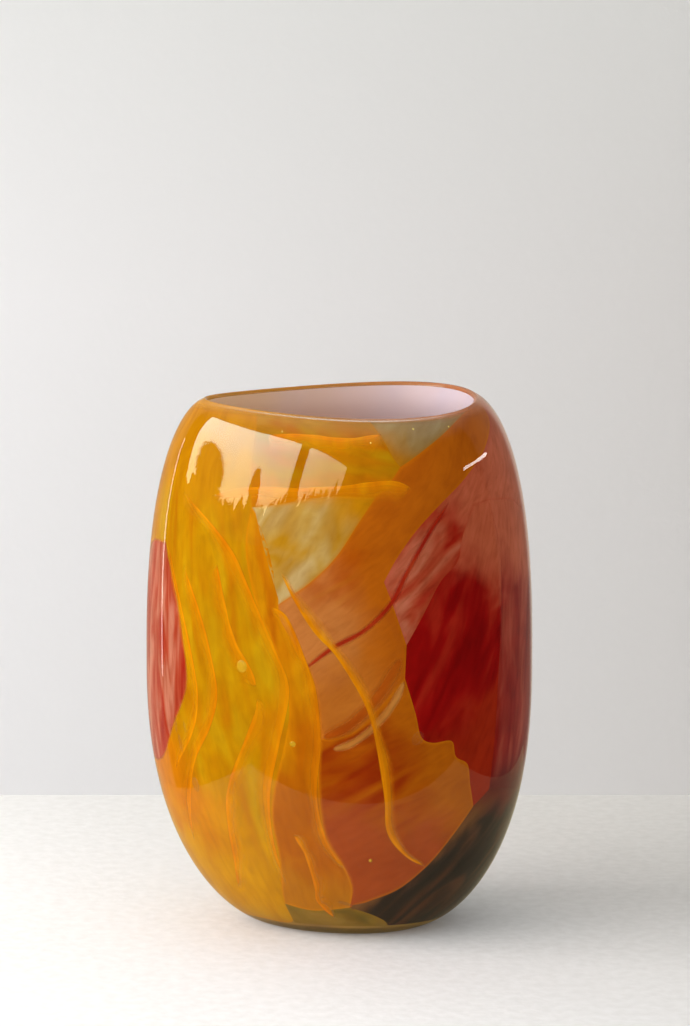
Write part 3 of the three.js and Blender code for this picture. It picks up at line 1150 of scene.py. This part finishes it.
KHAKI_RIM = ShardFinish(
    "khaki_rim_glass", (0.40, 0.25, 0.08), (0.38, 0.19, 0.03), (0.44, 0.31, 0.13),
    (0.46, 0.19, 0.01), drifts=(Drift((0.46, 0.17, 0.006), (-66, 216), (-68, 206)),),
    flow=-60, stretch=3, grain=3.0)
AMBER = ShardFinish(
    "amber_glass", (0.66, 0.215, 0.001), (0.58, 0.15, 0.001), (0.70, 0.28, 0.002), (0.78, 0.27, 0.001),
    drifts=(Drift((0.52, 0.13, 0.002), (-102, 90), (-102, 66)),
            Drift((0.54, 0.18, 0.004), (-102, 40), (-106, 24))),
    flow=8, stretch=4)
ORANGE = ShardFinish(
    "orange_glass", (0.54, 0.10, 0.001), (0.46, 0.06, 0.001), (0.60, 0.16, 0.004),
    (0.64, 0.17, 0.001),
    drifts=(Drift((0.62, 0.21, 0.045), (-76, 170), (-92, 138)),
            Drift((0.56, 0.165, 0.018), (-96, 134), (-86, 114)),
            Drift((0.54, 0.125, 0.003), (-86, 122), (-70, 128))),
    flow=-50, stretch=4, grain=2.8)
BRICK = ShardFinish(
    "brick_glass", (0.43, 0.068, 0.001), (0.33, 0.03, 0.001), (0.52, 0.12, 0.002),
    (0.66, 0.20, 0.002),
    drifts=(Drift((0.50, 0.12, 0.002), (-78, 80), (-60, 90)),
            Drift((0.44, 0.07, 0.010), (-60, 66), (-64, 44))), flow=-64, stretch=4, grain=2.6)
MILKY_RED = ShardFinish(
    "milky_red_glass", (0.49, 0.07, 0.026), (0.39, 0.014, 0.004), (0.58, 0.16, 0.08),
    (0.46, 0.03, 0.003),
    drifts=(Drift((0.55, 0.115, 0.048), (-46, 172), (-38, 188)),),
    flow=-46, stretch=3.5, grain=3.2, edge_share=0.25, fibre_share=0.75)
DEEP_RED = ShardFinish(
    "deep_red_glass", (0.33, 0.003, 0.002), (0.25, 0.001, 0.001), (0.40, 0.016, 0.006),
    (0.42, 0.01, 0.002),
    drifts=(Drift((0.55, 0.115, 0.048), (-52, 152), (-42, 176)),
            Drift((0.36, 0.02, 0.003), (-42, 116), (-34, 98))),
    flow=-24, stretch=4, grain=2.6, edge_share=0.12, fibre_share=0.6)
ORANGE_BACK = replace(ORANGE, name="orange_back_glass", drifts=(
    Drift((0.60, 0.24, 0.03), (30, 150), (70, 190)), Drift((0.44, 0.06, 0.003), (30, 90), (30, 60))),
    flow=-70)
RED_BACK = replace(DEEP_RED, name="deep_red_back_glass", edge=(0.62, 0.17, 0.002), edge_share=0.5, drifts=(
    Drift((0.50, 0.10, 0.03), (90, 96), (104, 116)), Drift((0.16, 0.01, 0.004), (84, 60), (84, 36))),
    flow=-60)
PLUM = ShardFinish(
    "plum_glass", (0.32, 0.02, 0.010), (0.25, 0.006, 0.004), (0.42, 0.06, 0.03), (0.34, 0.03, 0.01),
    drifts=(Drift((0.55, 0.115, 0.048), (-26, 146), (-22, 172)),
            Drift((0.14, 0.010, 0.008), (-20, 84), (-20, 66))),
    flow=-8, stretch=5, edge_share=0.0, fibre_share=0.75)
SMOKE = ShardFinish(
    "smoke_glass", (0.028, 0.015, 0.010), (0.010, 0.006, 0.005), (0.10, 0.035, 0.015),
    (0.05, 0.018, 0.01),
    drifts=(Drift((0.20, 0.075, 0.02), (-66, 25), (-69, 31)),
            Drift((0.15, 0.014, 0.008), (-32, 50), (-32, 66))),
    flow=-54, stretch=4, edge_share=0.2)
OLIVE = ShardFinish(
    "olive_glass", (0.27, 0.15, 0.016), (0.16, 0.10, 0.012), (0.36, 0.20, 0.03), (0.34, 0.17, 0.01),
    flow=80, stretch=3)
CREAM = ShardFinish(
    "cream_glass", (0.60, 0.23, 0.04), (0.56, 0.17, 0.02), (0.65, 0.29, 0.075), (0.60, 0.20, 0.02),
    flow=-50, edge_share=0.0, laid_over=True)
BURNT = ShardFinish(
    "burnt_orange_glass", (0.50, 0.095, 0.004), (0.43, 0.065, 0.002), (0.56, 0.14, 0.006),
    (0.40, 0.09, 0.004), flow=-50, edge_share=0.0, laid_over=True)
THREAD = ShardFinish(
    "thread_glass", (0.80, 0.26, 0.001), (0.74, 0.21, 0.001), (0.84, 0.32, 0.002),
    (0.66, 0.24, 0.003), flow=4, edge_share=0.0, fibre_share=0.3, laid_over=True)
RED_THREAD = ShardFinish(
    "red_thread_glass", (0.42, 0.02, 0.004), (0.34, 0.01, 0.004), (0.46, 0.05, 0.01),
    (0.40, 0.05, 0.01), flow=-40, edge_share=0.0, laid_over=True)
RED_PATCH = ShardFinish(
    "red_patch_glass", (0.50, 0.075, 0.032), (0.42, 0.022, 0.008), (0.64, 0.22, 0.13),
    (0.56, 0.08, 0.01), flow=2, stretch=5, grain=3.0, edge_share=0.3, laid_over=True)
RED_TRAIL = ShardFinish(
    "red_trail_glass", (0.46, 0.05, 0.02), (0.38, 0.02, 0.008), (0.60, 0.16, 0.08),
    (0.50, 0.03, 0.006), flow=2, edge_share=0.0, laid_over=True)


@dataclass
class ShardMosaic:
    """The colour shards, side by side on the liner."""

    form: BodyForm
    shards: dict[str, tuple[ShardFinish, list[Point]]] = field(default_factory=dict)

    def lay_out(self) -> None:
        """Draws each shard's outline from the edges that it shares with its neighbours."""
        self.shards = {
            "yellow_shard_left": (YELLOW, outline(
                YELLOW_TOP, YELLOW_SIDE, [(-117, 18), (-120, FLOOR), (-144, FLOOR), (-166, FLOOR)],
                back(LEFT_END), [(-176, TOP), (-150, TOP), (-127, TOP)])),
            "yellow_shard_top": (YELLOW_TOP_GLASS, outline(
                back(YELLOW_TOP), [(-127, TOP), (-100, TOP), (-78, TOP)], RIM_KHAKI, SWEEP_UPPER,
                back(KHAKI_TOP))),
            "khaki_shard_rim": (KHAKI_RIM, outline(RIM_KHAKI, back(SWEEP_RIM), [(-24, TOP), (-78, TOP)])),
            "khaki_shard": (KHAKI, outline(KHAKI_TOP, SWEEP_FOLD, back(KHAKI_LEFT))),
            "amber_ribbon": (AMBER, outline(
                KHAKI_LEFT, FOLD_TOP, FOLD_LOW, back(OLIVE_TOP), back(YELLOW_SIDE))),
            "orange_sweep_shard": (ORANGE, outline(
                SWEEP_RIM, SWEEP_UPPER, SWEEP_FOLD, FOLD_TOP, ARC_UNDER, back(PETAL_MIDDLE),
                back(PETAL_TOP), back(SWEEP_LOWER), SWEEP_END, [(-8, TOP), (-24, TOP)])),
            "brick_shard": (BRICK, outline(ARC_UNDER, PETAL_LOW, back(DARK_FRONT), back(FOLD_LOW))),
            "milky_red_shard": (MILKY_RED, outline(
                SWEEP_LOWER, PETAL_TOP, RED_LEFT, RED_TOP, PLUM_TOP, [(4, 190), (6, 206), (2, TOP)],
                [(2, TOP), (-8, TOP)], back(SWEEP_END))),
            "deep_red_shard": (DEEP_RED, outline(
                RED_LEFT, RED_TOP, RED_RIGHT, back(DARK_TOP), back(PETAL_LOW), back(PETAL_MIDDLE))),
            "plum_shard": (PLUM, outline(PLUM_TOP, PLUM_END, back(DARK_SIDE), back(RED_RIGHT))),
            "dark_shard": (SMOKE, outline(
                DARK_FRONT, DARK_TOP, DARK_SIDE, DARK_BACK, [(60, 50), (52, 24), (50, FLOOR)],
                [(50, FLOOR), (-8, FLOOR), (-65, FLOOR)], back(OLIVE_END))),
            "olive_shard": (OLIVE, outline(
                OLIVE_TOP, OLIVE_END, [(-65, FLOOR), (-118, FLOOR)], [(-118, FLOOR), (-117, 18)])),
            "orange_shard_back": (ORANGE_BACK, outline(
                PLUM_END, DARK_BACK, back(BACK_RIGHT_LOW), back(BACK_RIGHT),
                [(84, TOP), (44, TOP), (4, TOP)], [(4, TOP), (8, 206), (4, 190)])),
            "amber_shard_back": (AMBER, outline(
                BACK_RIGHT, BACK_CROSS, back(BACK_LEFT), [(132, TOP), (108, TOP), (84, TOP)])),
            "red_shard_back": (RED_BACK, outline(
                BACK_RIGHT_LOW, BACK_SMOKE, back(BACK_LEFT_LOW), back(BACK_CROSS))),
            "smoke_shard_back": (SMOKE, outline(
                BACK_SMOKE, BACK_FOOT, [(108, FLOOR), (52, FLOOR)], [(52, FLOOR), (54, 24), (60, 50)])),
            "yellow_shard_back": (YELLOW, outline(
                BACK_LEFT, BACK_LEFT_LOW, BACK_FOOT, [(108, FLOOR), (150, FLOOR), (194, FLOOR)],
                back(full_turn(LEFT_END)), [(184, TOP), (158, TOP), (132, TOP)])),
        }

    def build(self) -> None:
        """Cuts and lays every shard."""
        self.lay_out()
        made: dict[str, bpy.types.Material] = {}
        for node, (finish, points) in self.shards.items():
            if finish.name not in made:
                made[finish.name] = finish.build()
            bm = Sheet(points, Layer.MOSAIC).build(self.form)
            settle(object_from(bm, node + "_glass", [made[finish.name]]), node)


@dataclass
class Trails:
    """Broad trails and a patch laid over the mosaic."""

    form: BodyForm

    def build(self) -> None:
        """Lays the red patch as a sheet and the arcs as strands."""
        oval = [(-160, 168), (-150, 148), (-144.5, 126), (-143.5, 108), (-151, 92), (-164, 74),
                (-184, 74), (-196, 96), (-198, 124), (-190, 150), (-176, 166), (-160, 168)]
        bm = Sheet(outline(oval), Layer.TRAILS, rolled=1.6, soft=True).build(self.form)
        settle(object_from(bm, "red_patch_left_glass", [RED_PATCH.build()]), "red_patch_left")
        strands = {
            "brown_arc": (BURNT, [(-95, 93), (-88, 97.5), (-81, 106), (-75.5, 116), (-71, 127)], 4.4),
            "cream_arc": (CREAM, [(-92, 88), (-86, 91), (-79, 98.5), (-73.5, 107.5), (-70, 117)], 2.6),
            "red_thread": (RED_THREAD, [(-101, 121), (-92, 131), (-82, 139), (-74, 150), (-69, 162),
                                        (-61, 178), (-52, 191)], 2.0),
            "milk_trail_back": (CREAM, [(70, 196), (84, 176), (90, 150), (104, 128), (124, 116)], 5.0),
            "red_trail_back": (RED_TRAIL, [(134, 206), (146, 176), (150, 140), (142, 104),
                                           (150, 70)], 6.0),
        }
        for node, (finish, path, width) in strands.items():
            bm = Strand(path, 1.5 * width, Layer.TRAILS, soft=True).build(self.form)
            settle(object_from(bm, node + "_glass", [finish.build()]), node)


@dataclass
class Threads:
    """Fine amber threads, the rolled edges of shards, nearest the surface."""

    form: BodyForm
    paths: dict[str, tuple[list[Point], float, float]] = field(default_factory=lambda: {
        "thread_left_1": ([(-156, 166), (-148, 147), (-141, 124), (-138, 104), (-142, 88),
                           (-153, 72)], 1.6, -4.0),
        "thread_left_2": ([(-146, 160), (-138, 143), (-133, 127), (-130, 109), (-133, 94),
                           (-141, 78), (-148, 58), (-154, 40)], 2.0, -6.0),
        "thread_left_3": ([(-131, 163), (-127, 146), (-123, 131), (-117.5, 120), (-115.7, 113)],
                          2.0, -6.0),
        "thread_left_4": ([(-115.3, 108), (-116, 100), (-121.5, 84), (-127.5, 68), (-130, 55),
                           (-132.6, 35), (-138, 22)], 2.2, 6.0),
        "thread_side": ([(-152, 190), (-136.5, 180), (-126, 169), (-120, 157), (-115, 144),
                         (-110, 130), (-106, 117), (-106, 106), (-109, 88), (-113, 66),
                         (-113.5, 44), (-112, 26)], 2.2, -6.0),
        "thread_crossing": ([(-108, 162), (-104, 152), (-97, 138), (-90, 127), (-82, 108),
                             (-78, 88), (-75.5, 68), (-74, 52), (-67, 41), (-58, 35)], 2.2, 3.0),
        "thread_fold": ([(-111, 147), (-106, 143), (-101, 128), (-97.5, 114), (-96, 92),
                         (-97.5, 68), (-95, 48), (-89, 35)], 2.0, -4.0),
        "thread_foot": ([(-106, 50), (-102.5, 41), (-100.5, 27), (-100.5, 20), (-94, 13)], 1.8, 4.0),
        "thread_upper": ([(-136, 190), (-120, 195), (-105, 196), (-90, 198), (-74, 200),
                          (-66, 198)], 2.6, -7.0),
        "thread_lip": ([(-118, 213), (-104, 214.5), (-88, 214), (-74, 216)], 2.0, -6.0),
        "thread_back_1": ([(30, 208), (36, 170), (28, 130), (38, 92), (34, 66)], 2.0, 5.0),
        "thread_back_2": ([(100, 212), (96, 180), (108, 146), (98, 104), (108, 60)], 2.2, -5.0),
        "thread_back_3": ([(158, 212), (160, 176), (168, 140), (158, 100), (164, 60),
                           (158, 24)], 2.0, 5.0),
        "thread_back_4": ([(65, 207), (57, 175), (51, 143), (53.5, 113), (61, 79)], 1.8, -5.0),
    })

    def build(self) -> None:
        """Lays every thread."""
        material = THREAD.build()
        for node, (path, width, feather) in self.paths.items():
            bm = Strand(path, width, Layer.THREADS, feather).build(self.form)
            settle(object_from(bm, node + "_glass", [material]), node)


@dataclass
class Seeds:
    """Seed bubbles and gold flecks in the clear casing, as (degrees, height, wide, tall, lean).

    Widths and heights are half sizes in drawn millimetres; the lean is in degrees.
    """

    form: BodyForm
    flecks: tuple[tuple[float, ...], ...] = (
        (-61.3, 218.0, 0.42, 0.42, 0), (-79.0, 213.5, 0.32, 0.3, 0), (-44.8, 217.5, 0.3, 0.3, 0),
        (-112, 215.5, 0.3, 0.34, 0))
    bubbles: tuple[tuple[float, ...], ...] = (
        (-141.2, 67.0, 1.9, 3.2, 8), (-146.5, 84.0, 0.7, 4.2, 12), (-148.5, 92.0, 0.6, 3.6, 6),
        (-143.5, 91.5, 0.5, 2.6, 14), (-66.2, 92.8, 3.0, 2.4, 60), (-89.2, 19.8, 3.6, 0.6, -12),
        (-101, 148, 0.5, 2.2, 20), (24, 120, 1.2, 2.0, 10), (70, 84, 1.0, 2.4, -12),
        (118, 150, 0.9, 1.6, 0), (150, 60, 1.6, 2.4, 14))
    beads: tuple[tuple[float, ...], ...] = (
        (-119.9, 121.3, 2.2, 2.6, 0), (-103.9, 90.0, 1.2, 1.2, 0), (-80.0, 39.3, 0.8, 0.8, 0))

    def group(self, specks: Sequence[tuple[float, ...]], thin: float) -> bmesh.types.BMesh:
        """Makes one mesh of small flattened balls.

        Args:
            specks: The balls of the group.
            thin: Half thickness of each ball through the glass, in drawn millimetres.

        Returns:
            The closed bmesh, in metres.
        """
        bm = bmesh.new()
        for degrees, height, wide, tall, lean in specks:
            ball = bmesh.ops.create_uvsphere(bm, u_segments=20, v_segments=12, radius=1.0)["verts"]
            turn = math.radians(lean)
            for vert in ball:
                across, up = vert.co.x * wide, vert.co.y * tall
                swung = (across * math.cos(turn) - up * math.sin(turn),
                         across * math.sin(turn) + up * math.cos(turn))
                depth = Layer.SEEDS.value - vert.co.z * thin
                vert.co = self.form.lay(degrees + swung[0] / MM_PER_DEGREE, height + swung[1], depth)
        bmesh.ops.recalc_face_normals(bm, faces=bm.faces)
        return bm

    def build(self) -> None:
        """Makes the flecks, the bubbles and the amber beads."""
        groups = (
            ("gold_flecks", self.flecks, 0.3, SpeckFinish("gold_fleck", (1.0, 0.78, 0.16), 0.95)),
            # The seed bubble's brownish colour is a painted reflection: it stands in for the light that a
            # bubble's rim bends and mirrors.
            ("seed_bubbles", self.bubbles, 0.5, SpeckFinish("seed_bubble", (0.46, 0.30, 0.14), 0.5, 0.92)),
            ("amber_beads", self.beads, 0.5, SpeckFinish("amber_bead", (0.85, 0.50, 0.01), 0.6, 0.1)),
        )
        for name, specks, thin, finish in groups:
            settle(object_from(self.group(specks, thin), name, [finish.build()]), "clear_casing")


# ---------------------------------------------------------------------------------------------
# Setting
# ---------------------------------------------------------------------------------------------


@dataclass
class Setting:
    """Plinth, wall, soft window light and camera, in metres.

    A pane gives where its two upright sides stand along the window, at the bottom and at the top.
    A tree gives the middle and half size of its crown, as slopes seen from the vase. The mirrored
    colours are what polished glass reflects of the room.
    """

    plinth_low: Point = (-0.19, -0.17)
    plinth_high: Point = (0.23, 0.221)
    plinth_height: float = 1.0
    wall_distance: float = 0.9
    eye_level: float = 0.13
    window_distance: float = 2.0
    window_low: float = 0.40
    window_tall: float = 1.5
    panes: tuple[tuple[str, Point, Point], ...] = (
        ("stage_pane_left", (-0.12, 2.15), (-0.42, 1.62)), ("stage_pane_right", (2.4, 4.3), (1.9, 4.3)))
    trees: tuple[tuple[Point, Point], ...] = (((0.30, 0.34), (0.16, 0.18)), ((0.74, 0.29), (0.045, 0.14)))
    tree_lean: float = 0.35
    sky: float = 10.0
    dusk: float = 0.25
    ambient: Colour = (0.60, 0.61, 0.62)
    backdrop: Colour = (0.74, 0.74, 0.72)
    mirrored_plinth: Colour = (0.5, 0.44, 0.28)
    mirrored_front: Colour = (0.05, 0.046, 0.042)
    mirrored_left: Colour = (0.50, 0.45, 0.36)
    mirrored_right: Colour = (0.25, 0.20, 0.165)
    mirrored_behind: Colour = (0.66, 0.58, 0.50)
    mirrored_above: Colour = (1.0, 0.98, 0.95)
    lens: float = 151.4
    eye: tuple[float, float, float] = (0.0024, -1.8, 0.5)
    eye_tilt: float = 10.17

    def plinth(self) -> None:
        """Makes a white square block with its top at the foot of the vase, with shade painted on it towards
        its right and back.
        """
        g = Graph.material("plinth_paint_and_shade")
        place = g.add("TexCoord").outputs["Object"]
        grain = g.noise(place, 200.0)
        tone = g.ramp(grain, (0.3, (0.88, 0.875, 0.86)), (0.7, (0.95, 0.945, 0.935)))
        # Painted shade: the paint darkens towards the plinth's right and back, where less of the window's
        # light falls.
        across = g.span(g.vector_calc("DOT_PRODUCT", place, (1.0, 0.7, 0.0)), -0.12, 0.2)
        shadow_side = g.ramp(across, (0.0, (1, 1, 1)), (1.0, (0.80, 0.785, 0.76)))
        tone = g.blend(1.0, tone, shadow_side, "MULTIPLY")
        tone = g.blend(g.add("LightPath").outputs["Is Glossy Ray"], tone, self.mirrored_plinth)
        paint = g.surface(tone, 0.7, Normal=g.bump(grain, 0.35, 0.0006))
        bm = bmesh.new()
        bmesh.ops.create_cube(bm, size=1.0)
        for vert in bm.verts:
            x = self.plinth_high[0] if vert.co.x > 0 else self.plinth_low[0]
            y = self.plinth_high[1] if vert.co.y > 0 else self.plinth_low[1]
            vert.co = (x, y, 0.0 if vert.co.z > 0 else -self.plinth_height)
        bmesh.ops.bevel(bm, geom=bm.edges[:], offset=0.002, segments=3, profile=0.5, affect="EDGES",
                        material=-1)
        object_from(bm, "stage_plinth", [g.finish(paint)])

    def wall(self) -> None:
        """Makes a pale wall that only shows from its front, with the window's light painted on it: lightest
        low at the left, darker towards the right.
        """
        g = Graph.material("wall_paint_and_light")
        place = g.add("TexCoord").outputs["Object"]
        split = g.add("SeparateXYZ", Vector=place)
        relief = g.bump(g.noise(place, 120.0, 3.0), 0.3, 0.0012)
        # Painted light: the window's fall-off is painted into the wall's colour, lightest low on the left
        # and darker towards the right.
        across = g.span(split.outputs["X"], -0.35, 0.35)
        upper = g.ramp(across, (0.0, (0.72, 0.735, 0.70)), (1.0, (0.665, 0.675, 0.645)))
        lower = g.ramp(across, (0.0, (0.98, 0.97, 0.97)), (1.0, (0.635, 0.61, 0.58)))
        tone = g.blend(g.span(split.outputs["Z"], 0.55, 0.15), upper, lower)
        paint = g.surface(tone, 0.8, Normal=relief)
        shader = g.mix(g.add("NewGeometry").outputs["Backfacing"], paint, g.clear())
        bm = bmesh.new()
        bmesh.ops.create_grid(bm, x_segments=2, y_segments=2, size=1.0)
        for vert in bm.verts:
            vert.co = (3.0 * vert.co.x, self.wall_distance, 2.2 * vert.co.y + 0.4)
        turn_faces(bm, (0, -1, 0))
        wall = object_from(bm, "stage_wall", [g.finish(shader)])
        wall.visible_glossy = False

    def view(self) -> bpy.types.Material:
        """Paints an evening sky over the dark tops of trees.

        Returns:
            The glowing material, which reads Object coordinates.
        """
        g = Graph.material("window_view")
        place = g.add("TexCoord").outputs["Object"]
        split = g.add("SeparateXYZ", Vector=place)
        reach = g.vector_calc("LENGTH", g.vector_calc("MULTIPLY", place, (1.0, 1.0, 0.0)))
        rise = g.calc("DIVIDE", g.calc("SUBTRACT", split.outputs["Z"], self.eye_level), reach)
        turn = g.calc("DIVIDE", split.outputs["Y"], -self.window_distance)
        swung = g.calc("MULTIPLY_ADD", rise, self.tree_lean, turn)
        seen = g.add("CombineXYZ", X=swung, Y=rise, Z=0.0).outputs[0]
        leaves = g.noise(seen, 30.0, 6.0, 0.8)
        tops = g.add("TexNoise", {"noise_dimensions": "1D"}, W=turn, Scale=7.0, Detail=5.0, Roughness=0.7)
        line = g.calc("MULTIPLY_ADD", leaves, 0.08, g.calc("MULTIPLY_ADD", tops.outputs["Fac"], 0.26, 0.08))
        sky = g.calc("GREATER_THAN", rise, line)
        for (x, y), (wide, tall) in self.trees:
            crown = g.vector_calc("DIVIDE", g.vector_calc("SUBTRACT", seen, (x, y, 0)), (wide, tall, 1))
            ragged = g.calc("MULTIPLY_ADD", leaves, -1.6, g.vector_calc("LENGTH", crown))
            sky = g.calc("MULTIPLY", sky, g.calc("GREATER_THAN", ragged, 0.2))
        glow = g.ramp(rise, (0.2, (0.86, 0.82, 0.40)), (0.65, (0.86, 1.12, 1.02)))
        glow = g.blend(g.add("LightPath").outputs["Is Glossy Ray"], (1.0, 0.97, 0.96), glow)
        fall = g.span(turn, 0.3, 1.5, self.sky, 0.5 * self.sky)
        strength = g.calc("MULTIPLY_ADD", sky, fall, self.dusk)
        return g.finish(g.add("Emission", Color=glow, Strength=strength).outputs[0])

    def window(self) -> None:
        """Makes a tall window in two panes."""
        material = self.view()
        for name, low, high in self.panes:
            bm = bmesh.new()
            bmesh.ops.create_grid(bm, x_segments=2, y_segments=2, size=1.0)
            for vert in bm.verts:
                up = (vert.co.y + 1) / 2
                near, far = (a + (b - a) * up for a, b in zip(low, high))
                along = near + (far - near) * (vert.co.x + 1) / 2
                vert.co = (-self.window_distance, -along, self.window_low + self.window_tall * up)
            turn_faces(bm, (1, 0, 0))
            pane = object_from(bm, name, [material])
            pane.visible_camera = False

    def light(self, name: str, azimuth: float, elevation: float, distance: float, size: Point,
              radiance: float, colour: Colour) -> None:
        """Adds one rectangular soft light that faces the vase.

        Args:
            name: Name of the light.
            azimuth: Degrees round from the front, positive to the right.
            elevation: Degrees up from the middle of the vase.
            distance: Distance from the vase in metres.
            size: Width and height in metres.
            radiance: Brightness of its surface.
            colour: Its colour.
        """
        data = bpy.data.lights.new(name, "AREA")
        data.shape = "RECTANGLE"
        data.size, data.size_y = size
        data.energy = radiance * math.pi * size[0] * size[1]
        data.color = colour
        lamp = bpy.data.objects.new(name, data)
        turn, lift = math.radians(azimuth), math.radians(elevation)
        direction = Vector((math.sin(turn) * math.cos(lift), -math.cos(turn) * math.cos(lift),
                            math.sin(lift)))
        lamp.location = Vector((0, 0, self.eye_level)) + direction * distance
        lamp.rotation_euler = (-direction).to_track_quat("-Z", "Y").to_euler()
        lamp.visible_camera = False
        bpy.context.scene.collection.objects.link(lamp)

    def lights(self) -> None:
        """Adds slim strips for the gleams at both sides."""
        self.light("strip_left", -112, 3, 2.0, (0.04, 1.1), 8.0, (1, 0.97, 0.93))
        self.light("slot_right", 92, 13.5, 2.2, (1.5, 0.05), 12.0, (1, 0.98, 0.95))

    def world(self) -> None:
        """Makes a pale room whose light is even, but which mirrors dark in front and pale behind."""
        g = Graph(bpy.data.worlds.new("room"))
        towards = g.add("TexCoord").outputs["Generated"]
        split = g.add("SeparateXYZ", Vector=towards)
        behind = g.vector_calc("DOT_PRODUCT", towards, (0.12, 1.0, 0.0))
        sides = g.blend(g.span(split.outputs["X"], -0.2, 0.2), self.mirrored_left, self.mirrored_right)
        far = g.blend(g.span(behind, 0.93, 0.985, smooth=True), sides, self.mirrored_behind)
        room = g.blend(g.span(behind, 0.24, 0.32, smooth=True), self.mirrored_front, far)
        above = g.span(split.outputs["Z"], 0.5, 0.9, smooth=True)
        mirrored = g.blend(above, room, self.mirrored_above)
        path = g.add("LightPath")
        even = g.blend(path.outputs["Is Diffuse Ray"], mirrored, self.ambient)
        seen = g.blend(path.outputs["Is Camera Ray"], even, self.backdrop)
        bpy.context.scene.world = g.finish(g.add("Background", Color=seen).outputs[0])

    def camera(self) -> None:
        """Sets a long lens a little above the lip, tilted down to the vase."""
        data = bpy.data.cameras.new("camera")
        data.lens = self.lens
        data.sensor_width = 36.0
        data.clip_end = 50.0
        eye = bpy.data.objects.new("camera", data)
        eye.location = self.eye
        eye.rotation_euler = (math.radians(90 - self.eye_tilt), 0, 0)
        bpy.context.scene.collection.objects.link(eye)
        bpy.context.scene.camera = eye

    def build(self) -> None:
        """Sets the stage."""
        self.plinth()
        self.wall()
        self.window()
        self.lights()
        self.world()
        self.camera()
        scene = bpy.context.scene
        scene.view_settings.view_transform = "Standard"
        scene.cycles.transparent_max_bounces = 48
        scene.cycles.max_bounces = 14


def main() -> None:
    """Builds the vase from the inside out, then its setting."""
    logging.basicConfig(level=logging.INFO, format="%(message)s")
    low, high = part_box("clear_casing")
    form = BodyForm(unit=(high[0] - low[0]) / DRAWN_WIDTH)
    OpalLiner(form).build()
    ShardMosaic(form).build()
    Trails(form).build()
    Threads(form).build()
    Seeds(form).build()
    ClearCasing(form).build()
    Setting().build()


if __name__ == "__main__":
    main()
